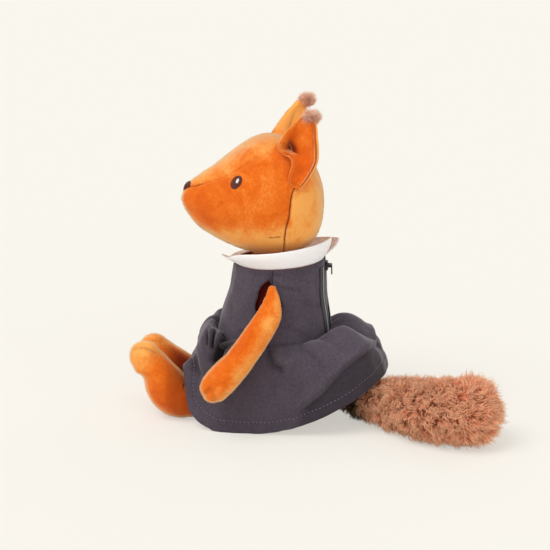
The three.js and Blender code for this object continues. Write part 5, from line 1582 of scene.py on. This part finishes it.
def bodice():
    panels = (("bodice_front", -90, 90, ((90, 1), (-90, -1))), ("bodice_back_left", 90, 178, ((90, 1),)),
              ("bodice_back_right", 182, 270, ((270, -1),)))
    for name, start, stop, armholes in panels:
        back = "back" in name
        gap = math.degrees(0.15 / SEAM_RADIUS)
        low = 180 + back_gap() if start > 180 else start + gap
        high = 180 - back_gap() if stop < 180 and back else stop - gap
        flat, surface, faces = panel_mesh(low, high, armholes)
        normals = dress_normals(surface)
        surface = worn(surface)
        drawn = surface * np.array([1, 1, 0.45])
        crease = lumps(drawn, 8, 15) * 0.75 + lumps(surface, 14, 17) * 0.5 + lumps(surface, 4, 16) * 0.12
        crease = crease * smooth_step((surface[:, 2] - 66) / 8) * smooth_step((128 - surface[:, 2]) / 6)
        seam_line = np.minimum(np.abs(flat[:, 0] - low * DEG * PATTERN_RADIUS),
                               np.abs(flat[:, 0] - high * DEG * PATTERN_RADIUS))
        press = 0.45 * np.exp(-(seam_line / 0.9) ** 2)
        surface = surface + normals * (crease - press * (0.6 if back else 1.0))[:, None]
        creased = dress_creases(surface)
        surface = surface + normals * creased[:, None]
        # Painted shade along the front side seams and in the creases, and painted light on the raised lumps
        seam_shade = 0.0 if back else 0.55
        painted_shading = seam_shade * np.exp(-(seam_line / 0.8) ** 2) + np.clip(-creased, -0.5, 1) * 0.5
        painted_shading = painted_shading - 0.16 * crease
        made = sheet_form(name + "_cotton", surface, faces, flat, 0.0, CLOTH, charcoal_cotton, normals,
                          {"painted_shading": painted_shading})
        loose_piece(made, "body", (name,))
    neckline = [worn(dress_point(d, neckline_height(d) + neckline_lift(d) - 2.6, CLOTH + 0.12))
                for d in np.linspace(-170, 170, 260)]
    rows = stitch_rows("neckline_topstitch", [neckline], 1.9, 1.3, 0.26, shadow_thread)
    loose_piece(rows, "body")
    for side, label in ((1, "left"), (-1, "right")):
        outline = []
        for y, z in armhole_outline():
            centre, half_depth, half_width = dress_ring(z)
            out_y, out_z = y - ARMHOLE_Y, z - ARMHOLE_Z
            grow = 1 + 1.5 / max(math.hypot(out_y, out_z), 6)
            y, z = ARMHOLE_Y + out_y * grow, ARMHOLE_Z + out_z * grow
            x = half_width * (1 - abs((y - centre) / half_depth) ** TORSO_ROUND) ** (1 / TORSO_ROUND)
            outline.append(worn(np.array([side * (x + CLOTH + 0.1), y, z])))
        rows = stitch_rows(f"armhole_{label}_topstitch", [outline + outline[:1]], 1.9, 1.3, 0.24,
                           shadow_thread)
        loose_piece(rows, "body")


def back_gap():
    """The angle between the middle of the back and the edge of a back panel."""
    return math.degrees(math.asin((BACK_OPENING / NECK_HALF_WIDTH) ** (TORSO_ROUND / 2)))


def dress_normals(surface):
    centre, half_depth, half_width = dress_ring(surface[:, 2])
    x = signed_power(surface[:, 0] / half_width, TORSO_ROUND - 1) / half_width
    y = signed_power((surface[:, 1] - centre) / half_depth, TORSO_ROUND - 1) / half_depth
    return unit(np.stack([x, y, np.full(len(surface), 0.0032)], axis=-1))


DRESS_CREASES = (
    # line of (y, z), depth (inward is positive), width
    (((6, 118.5), (6, 127)), 0.5, 0.7),
    (((8.9, 117), (17.8, 112.6), (28.9, 110.3)), 0.75, 1.1),
    (((11, 119), (20, 115.4), (30, 113.5)), -0.7, 1.8),
    (((25.8, 103.4), (41.3, 94.9)), 0.5, 1.6),
    (((-23.6, 97.1), (-23.7, 82.3)), 0.7, 0.6),
    (((-15.7, 78.3), (2.3, 70.5)), 0.5, 1.6),
    (((-8, 86), (-20, 76)), -0.5, 2.0),
    (((20, 84), (36, 73)), 0.5, 2.0),
    (((34, 118), (38, 100)), -0.6, 2.2),
    (((-22, 120), (-27, 104)), 0.6, 1.8),
)


def dress_creases(surface):
    """Small folds of the worn dress, on both sides of the chest and back."""
    drop = np.zeros(len(surface))
    outer = smooth_step((np.abs(surface[:, 0]) - 11) / 5)
    for line, depth, width in DRESS_CREASES:
        away = distance_to_line(surface[:, 1:], line)
        drop -= np.exp(-(away / width) ** 2) * depth
    return drop * outer


# Skirt

SKIRT_BACK_ROUND = 2.6
HEM_GIRTH = 430
HEM_DEPTH = 9.0
RINGS = (
    # roundness at the front, half width, front edge, back edge, (angle, height) round the ring
    (2.7, 45, -45, 62, [(0, 75.5), (30, 75), (60, 70), (90, 63), (135, 69), (158, 77.5), (172, 73),
                        (180, 66)]),
    (3.2, 50, -53.5, 82, [(0, 64), (27, 61), (45, 50), (90, 43), (110, 49), (135, 60), (160, 67),
                          (180, 62)]),
    (5.0, 52.5, -52, 91, [(0, 51), (20, 54), (27, 44), (33, 30), (45, 20), (90, 19), (108, 26.5), (122, 38),
                          (139, 50), (154, 57), (168, 57.5), (180, 55)]),
    (5.5, 51.5, -62.5, 94, [(0, 38), (12, 42), (22, 43), (26, 34), (31, 15.5), (34, 10.5), (37, 6.5),
                            (40, 3.8), (43, 2), (47, 0.35), (74, 0.8), (94, 4.1), (107, 8.1), (119, 13.4),
                            (131, 20.5), (146, 31), (160, 38.5), (170, 40.5), (180, 40)]),
)
ring_heights = [mirrored_line(ring[4]) for ring in RINGS]


def skirt_ring_point(degrees, index):
    front_round, half_width, front, back, _ = RINGS[index]
    sideways, forward = math.sin(degrees * DEG), math.cos(degrees * DEG)
    power = SKIRT_BACK_ROUND + (front_round - SKIRT_BACK_ROUND) * (0.5 + 0.5 * forward)
    half_depth = (back - front) / 2
    total = abs(sideways / half_width) ** power + abs(forward / half_depth) ** power
    reach = total ** (-1 / power)
    height = float(ring_heights[index](degrees))
    return np.array([reach * sideways, (front + back) / 2 - reach * forward, height])


def bell(degrees, middle, width):
    """1 at the middle angle and 0 beyond its width, on both sides alike."""
    turn = abs(((degrees + 540) % 360) - 180)
    away = abs(turn - middle) / width
    return 0.5 + 0.5 * math.cos(away * math.pi) if away < 1 else 0.0


FOLDS = (
    # angle, width, where it starts and ends down the skirt, depth (out is positive)
    (8, 6, 0.0, 0.4, -1.2), (76, 6, 0.0, 0.45, -1.6), (112, 9, 0.0, 0.35, 1.0), (139, 9, 0.0, 0.4, 1.0),
    (152, 7, 0.0, 0.35, -1.4), (163, 6, 0.0, 0.35, 1.0),
)
LAP_FOLDS = (
    # line of (y, z) on both sides of the lap and hips, depth (in is positive), width, how much painted shade
    # it adds (below 0 it adds painted light)
    (((-43.3, 79.3), (-43.1, 73.6), (-42.3, 65.1)), 1.8, 1.1, 1.8),
    (((-36.2, 77), (-37.6, 72.3), (-38.1, 63.9)), 3.0, 1.7, 2.8),
    (((-36.7, 77), (-33.5, 78.6), (-28.5, 78.2)), 0.8, 0.7, 1.0),
    (((-22.7, 74.9), (-27, 71.8), (-29.8, 67.7), (-32.2, 61.9), (-34.6, 55.3)), 6.8, 3.8, 2.8),
    (((-24, 71.5), (-27.5, 67.5), (-29.5, 62), (-31.5, 57)), 1.5, 4.2, 2.0),
    (((-39.3, 83), (-40.4, 74), (-40.1, 64.3)), -1.2, 1.1, -0.25),
    (((-37.2, 54.8), (-35.7, 65.5), (-34.2, 72), (-30.3, 76.6), (-24, 77.3)), -1.7, 1.3, -0.5),
    (((-47, 81.9), (-46.4, 69.8), (-45.8, 58.6)), -1.3, 2.0, -0.2),
    (((-58, 51.6), (-52.5, 48.5), (-48.4, 43.7)), 1.6, 4.5, 0.8),
    (((6.4, 72), (7.1, 61.3), (11.0, 55.1), (16.4, 52.5)), 3.4, 3.4, 0.45),
    (((11.0, 72.2), (13.5, 64.3), (17.8, 58.8), (24.7, 57.6)), -1.8, 3.0, -0.2),
    (((30.9, 66.7), (37.5, 64.7), (43.3, 60.6), (49.2, 55.1)), 1.5, 2.3, 0.15),
    (((33.5, 70), (40, 67.6), (46, 63.3), (51.6, 57.5)), -1.2, 2.4, -0.1),
    (((47, 71), (53.6, 70.4), (61, 66)), 1.5, 2.2, 0.15),
)
# Where the fold over the tail runs, as angle and share of the way down
RIDGE = ((96, 0.75), (108, 0.71), (117, 0.71), (126, 0.66), (135, 0.60), (144, 0.57), (156, 0.54),
         (171, 0.53), (180, 0.55))


def skirt_point(degrees, v):
    points = [dress_point(degrees, float(waist_height(degrees)) - GAP)] + [skirt_ring_point(degrees, i)
                                                                            for i in range(len(RINGS))]
    point = SmoothPath(points).at(v)
    outward = np.array([math.sin(degrees * DEG), -math.cos(degrees * DEG), 0.0])
    gathered = math.sin(min(1, v * 1.6) * math.pi) * 1.5 * math.cos(14 * degrees * DEG)
    push = gathered * 0.6
    for angle, width, start, stop, depth in FOLDS:
        strength = bell(degrees, angle, width)
        if strength > 0 and start <= v <= stop:
            push += strength * math.sin((v - start) / (stop - start) * math.pi) * depth
    ripple = math.cos(46 * degrees * DEG + 2 * math.sin(5 * degrees * DEG))
    fine = ripple * 0.5 * math.exp(-v / 0.1) * min(1, v * 40)
    point = point + outward * (push + fine)
    body = dress_point(degrees, max(point[2], 34.0), CLOTH + 2 * GAP + 0.3)
    body[2] = 0
    inward = body @ outward - point @ outward
    return point + outward * inward if v > 0 and inward > 0 else point


def skirt():
    cols, rows = 444, 104
    turns = np.linspace(0, 2 * math.pi, cols, endpoint=False)
    degrees = (turns - 0.38 * np.sin(turns)) / DEG
    downs = np.linspace(0, 1, rows) ** 1.1
    grid = np.array([[skirt_point(d, v) for d in degrees] for v in downs])
    normals = outward_normals(grid)
    push, painted_shading = np.zeros(grid.shape[:2]), np.zeros(grid.shape[:2])
    at_side = smooth_step((np.abs(grid[..., 0]) - 26) / 5)
    # Painted shade in the folds of the lap and hips, and painted light where the value is below 0
    for line, depth, width, dark in LAP_FOLDS:
        near = np.exp(-(distance_to_line(grid[..., 1:], line) / width) ** 2) * at_side
        push -= depth * near
        painted_shading += near * dark
    turn = np.abs((degrees + 540) % 360 - 180)[None, :]
    ridge_v = np.interp(turn, *np.array(RIDGE).T)
    past = downs[:, None] - ridge_v
    behind = smooth_step((turn - 98) / 14)
    under = smooth_step(past / 0.07)
    push += behind * 1.5 * np.exp(-(past / 0.05) ** 2)
    push -= behind * 2.4 * under * smooth_step((1 - downs[:, None]) / 0.22)
    # Painted shade under the fold over the tail, and painted light above it at the back
    painted_shading += behind * 0.75 * under - 0.3 * smooth_step((turn - 115) / 30) * (1 - under)
    front_side = smooth_step((turn - 12) / 14) * smooth_step((74 - turn) / 14)
    push += 2.6 * front_side * np.exp(-((downs[:, None] - 0.075) / 0.045) ** 2)
    held = smooth_step(downs / 0.06)[:, None]
    grid = grid + normals * (push * held)[..., None]
    normals = outward_normals(grid)
    falling = smooth_step(downs / 0.3)[:, None]
    fan = np.stack(np.broadcast_arrays(45 * np.sin(degrees * DEG), -45 * np.cos(degrees * DEG),
                                       28 * downs[:, None]), axis=-1)
    soft = lumps(grid, 18, 18) * 0.7 + lumps(grid, 6, 19) * 0.22 + lumps(fan, 6.5, 20) * 0.9
    grid = grid + normals * (soft * falling)[..., None]
    grid[..., 2] = np.maximum(grid[..., 2], 0.1)
    steps = np.linalg.norm(np.diff(grid, axis=0), axis=-1)
    length = np.vstack([np.zeros(cols), np.cumsum(steps, axis=0)])
    to_hem = length[-1] - length
    thickness = np.where(to_hem < HEM_DEPTH, CLOTH + 0.5, CLOTH)
    thickness = thickness - 0.35 * np.exp(-((to_hem - HEM_DEPTH) / 0.7) ** 2)
    around = degrees[None, :] / 360 * HEM_GIRTH * np.ones((rows, 1))
    uvs = np.stack([around, length], axis=-1).reshape(-1, 2)
    surface = grid.reshape(-1, 3)
    made = sheet_form("skirt_cotton", surface, grid_faces(rows, cols, True), uvs, 0.0, thickness.ravel(),
                      charcoal_cotton, normals.reshape(-1, 3), {"painted_shading": np.clip(painted_shading, -0.4, 1.45).ravel()})
    loose_piece(made, "body", ("skirt_front", "skirt_back_left", "skirt_back_right"))
    outer = grid + normals * (thickness + 0.1)[..., None]
    line = []
    for c in range(cols):
        line.append([np.interp(HEM_DEPTH + 0.6, to_hem[::-1, c], outer[::-1, c, k]) for k in range(3)])
    rows_made = stitch_rows("hem_topstitch", [line + line[:1]], 3.2, 1.3, 0.44, charcoal_thread)
    loose_piece(rows_made, "body")


# Collar

def collar():
    cols, rows = 110, 18
    sides = (
        (1, "left", [(0, 3.4), (25, 5.5), (50, 11), (90, 14.5), (180, 18)],
         [(0, 11.5), (20, 8.5), (50, 7.2), (90, 7.5), (150, 6), (180, 7.5)]),
        (-1, "right", [(0, 1.2), (50, 2), (90, 6), (140, 11), (180, 15.5)],
         [(0, 5), (50, 4), (90, 4.5), (150, 5.5), (180, 15)]),
    )
    for side, label, rises, flares in sides:
        rise_at, flare_at = line_through(rises), line_through(flares)
        grid = np.zeros((rows, cols, 3))
        for c, u in enumerate(np.linspace(0, 1, cols)):
            degrees = 2.5 + (180 - 6.5 - 2.5) * u
            outward = np.array([math.sin(degrees * DEG), -math.cos(degrees * DEG), 0.0])
            for r, v in enumerate(np.linspace(0, 1, rows)):
                wave = 0.5 * v * math.sin(degrees * DEG * 5.0 + 1.0)
                edge = float(neckline_height(degrees) + neckline_lift(degrees)) + GAP
                p = worn(dress_point(degrees, edge))
                p = p + outward * (float(flare_at(degrees)) * math.sin(v * 90 * DEG) + wave)
                p[2] += float(rise_at(degrees)) * v
                grid[r, c] = p
        flip = np.array([side, 1, 1])
        place = grid * flip
        uvs = grid_uvs(rows, cols, 118, 17)
        normals = grid_normals(place, False)
        normals = normals * (1 if (normals[..., 0] * side).sum() < 0 else -1)
        made = sheet_form(f"collar_{label}_cotton", place.reshape(-1, 3), grid_faces(rows, cols), uvs,
                          0.0, 1.0, white_cotton, normals.reshape(-1, 3))
        loose_piece(made, "body", (f"collar_{label}",))


# Zip

# The tape ends: their lowest and highest point, and how far from the middle they start
FACING_LOW, FACING_HIGH = 66.6, 124.0
FACING_START, FACING_RADIUS = 3.9, 41


def zip_facings():
    """Tape ends that lie on the back panels beside the zip, each with a corded edge whose light grey is a
    painted highlight.
    """
    for side, label in ((1, "left"), (-1, "right")):
        rows, cols = 60, 12
        grid = np.zeros((rows, cols, 3))
        for r, v in enumerate(np.linspace(0, 1, rows)):
            height = FACING_LOW + (FACING_HIGH - FACING_LOW) * v
            edge = 160.5 - 4 * smooth_step(v * 1.4)
            inner = 180 - math.degrees(FACING_START / FACING_RADIUS)
            for c, u in enumerate(np.linspace(0, 1, cols)):
                grid[r, c] = worn(dress_point(inner + (edge - inner) * u, height, CLOTH + 0.12))
        place = grid * np.array([side, 1, 1])
        normals = grid_normals(place, False)
        normals = normals * (1 if normals[..., 1].sum() > 0 else -1)
        uvs = grid_uvs(rows, cols, 12, 58)
        made = sheet_form(f"zip_facing_{label}", place.reshape(-1, 3), grid_faces(rows, cols), uvs, 0.0, 0.5,
                          tape_weave, normals.reshape(-1, 3))
        loose_piece(made, "body")
        cord_line = place[:, 6] + normals[:, 6] * 0.75
        cord = threads(f"zip_cord_{label}", [[tuple(p) for p in cord_line]], 0.34, cord_highlight)
        loose_piece(cord, "body")


def zip_parts():
    zip_facings()
    finishes = {"zip_tape_left": tape_weave, "zip_tape_right": tape_weave, "zip_coil_left": coil_plastic,
                "zip_coil_right": coil_plastic, "zip_bottom_stop": slider_lacquer,
                "zip_slider": slider_lacquer, "zip_pull": slider_lacquer}
    for name, finish in finishes.items():
        materials = frame["nodes"][name].data.materials
        materials.clear()
        materials.append(finish)


torso()
head_piece = head()
face(head_piece)
ears()
arms()
legs()
tail()
bodice()
skirt()
collar()
zip_parts()

for collection in (pile_fibre, curly_locks, fine_locks):
    for obj in list(collection.objects):
        remove(obj)
    bpy.data.collections.remove(collection)
remove(stitch_shape)


# Floor, light and camera

def floor_material():
    """A pale floor that keeps half of the shadow where the camera sees it."""
    material, tree, shader = new_material("pale_floor", 0.95, 0.0)
    cloud = node(tree, "ShaderNodeTexNoise", {"Scale": 3.0})
    pale = mixed_colour(tree, ranged(tree, cloud.outputs["Fac"], 0, 1, 0, 0.02), linear((245, 242, 234)),
                        linear((240, 238, 232)))
    tree.links.new(pale, shader.inputs["Base Color"])
    glow = node(tree, "ShaderNodeEmission", {"Color": linear(BACKDROP), "Strength": 1.0})
    seen = tree.nodes.new("ShaderNodeLightPath")
    share = maths(tree, "MULTIPLY", seen.outputs["Is Camera Ray"], 0.55)
    mix = tree.nodes.new("ShaderNodeMixShader")
    tree.links.new(share, mix.inputs[0])
    tree.links.new(shader.outputs[0], mix.inputs[1])
    tree.links.new(glow.outputs[0], mix.inputs[2])
    tree.links.new(mix.outputs[0], tree.nodes["Material Output"].inputs["Surface"])
    return material


floor = bpy.data.objects.new("floor", bpy.data.meshes.new("floor"))
floor.data.from_pydata([(-6, -6, 0), (6, -6, 0), (6, 6, 0), (-6, 6, 0)], [], [(0, 1, 2, 3)])
floor.data.materials.append(floor_material())
bpy.context.scene.collection.objects.link(floor)

world = bpy.data.worlds.new("studio")
bpy.context.scene.world = world
world.use_nodes = True
world_tree = world.node_tree
background = world_tree.nodes["Background"]
seen = world_tree.nodes.new("ShaderNodeLightPath")
plain = node(world_tree, "ShaderNodeBackground", {"Color": linear(BACKDROP), "Strength": 1.0})
background.inputs["Color"].default_value = (1.0, 0.985, 0.96, 1)
background.inputs["Strength"].default_value = 0.5
blend = world_tree.nodes.new("ShaderNodeMixShader")
either = maths(world_tree, "MAXIMUM", seen.outputs["Is Camera Ray"], seen.outputs["Is Glossy Ray"])
either = maths(world_tree, "MAXIMUM", either, seen.outputs["Is Transmission Ray"])
world_tree.links.new(either, blend.inputs[0])
world_tree.links.new(background.outputs[0], blend.inputs[1])
world_tree.links.new(plain.outputs[0], blend.inputs[2])
world_tree.links.new(blend.outputs[0], world_tree.nodes["World Output"].inputs["Surface"])


def sun(name, azimuth, elevation, strength, angle):
    light = bpy.data.lights.new(name, "SUN")
    light.energy, light.angle = strength, angle * DEG
    obj = bpy.data.objects.new(name, light)
    a, e = azimuth * DEG, elevation * DEG
    direction = Vector((math.sin(a) * math.cos(e), -math.cos(a) * math.cos(e), math.sin(e)))
    obj.rotation_euler = direction.to_track_quat("Z", "Y").to_euler()
    bpy.context.scene.collection.objects.link(obj)


sun("window", 38, 56, 1.58, 40)
sun("fill", 122, 14, 0.84, 70)
sun("back", 250, 34, 0.36, 80)

a, e = CAMERA_AZIMUTH * DEG, CAMERA_ELEVATION * DEG
back = np.array([math.sin(a) * math.cos(e), -math.cos(a) * math.cos(e), math.sin(e)])
right = np.array([math.cos(a), math.sin(a), 0])
above = np.cross(back, right)
focal = CAMERA_LENS / SENSOR * PICTURE_SIDE
half_side = PICTURE_SIDE / 2
target = (-(SEAT_PIXEL[0] - half_side) / focal * CAMERA_DISTANCE * right
          + (SEAT_PIXEL[1] - half_side) / focal * CAMERA_DISTANCE * above)
camera_data = bpy.data.cameras.new("camera")
camera_data.lens, camera_data.sensor_width = CAMERA_LENS, SENSOR
camera_data.clip_start, camera_data.clip_end = 0.05, 30
camera = bpy.data.objects.new("camera", camera_data)
camera.location = Vector((target + back * CAMERA_DISTANCE) * MM)
camera.rotation_euler = Vector(back).to_track_quat("Z", "Y").to_euler()
bpy.context.scene.collection.objects.link(camera)
bpy.context.scene.camera = camera
bpy.context.scene.view_settings.view_transform = "Standard"
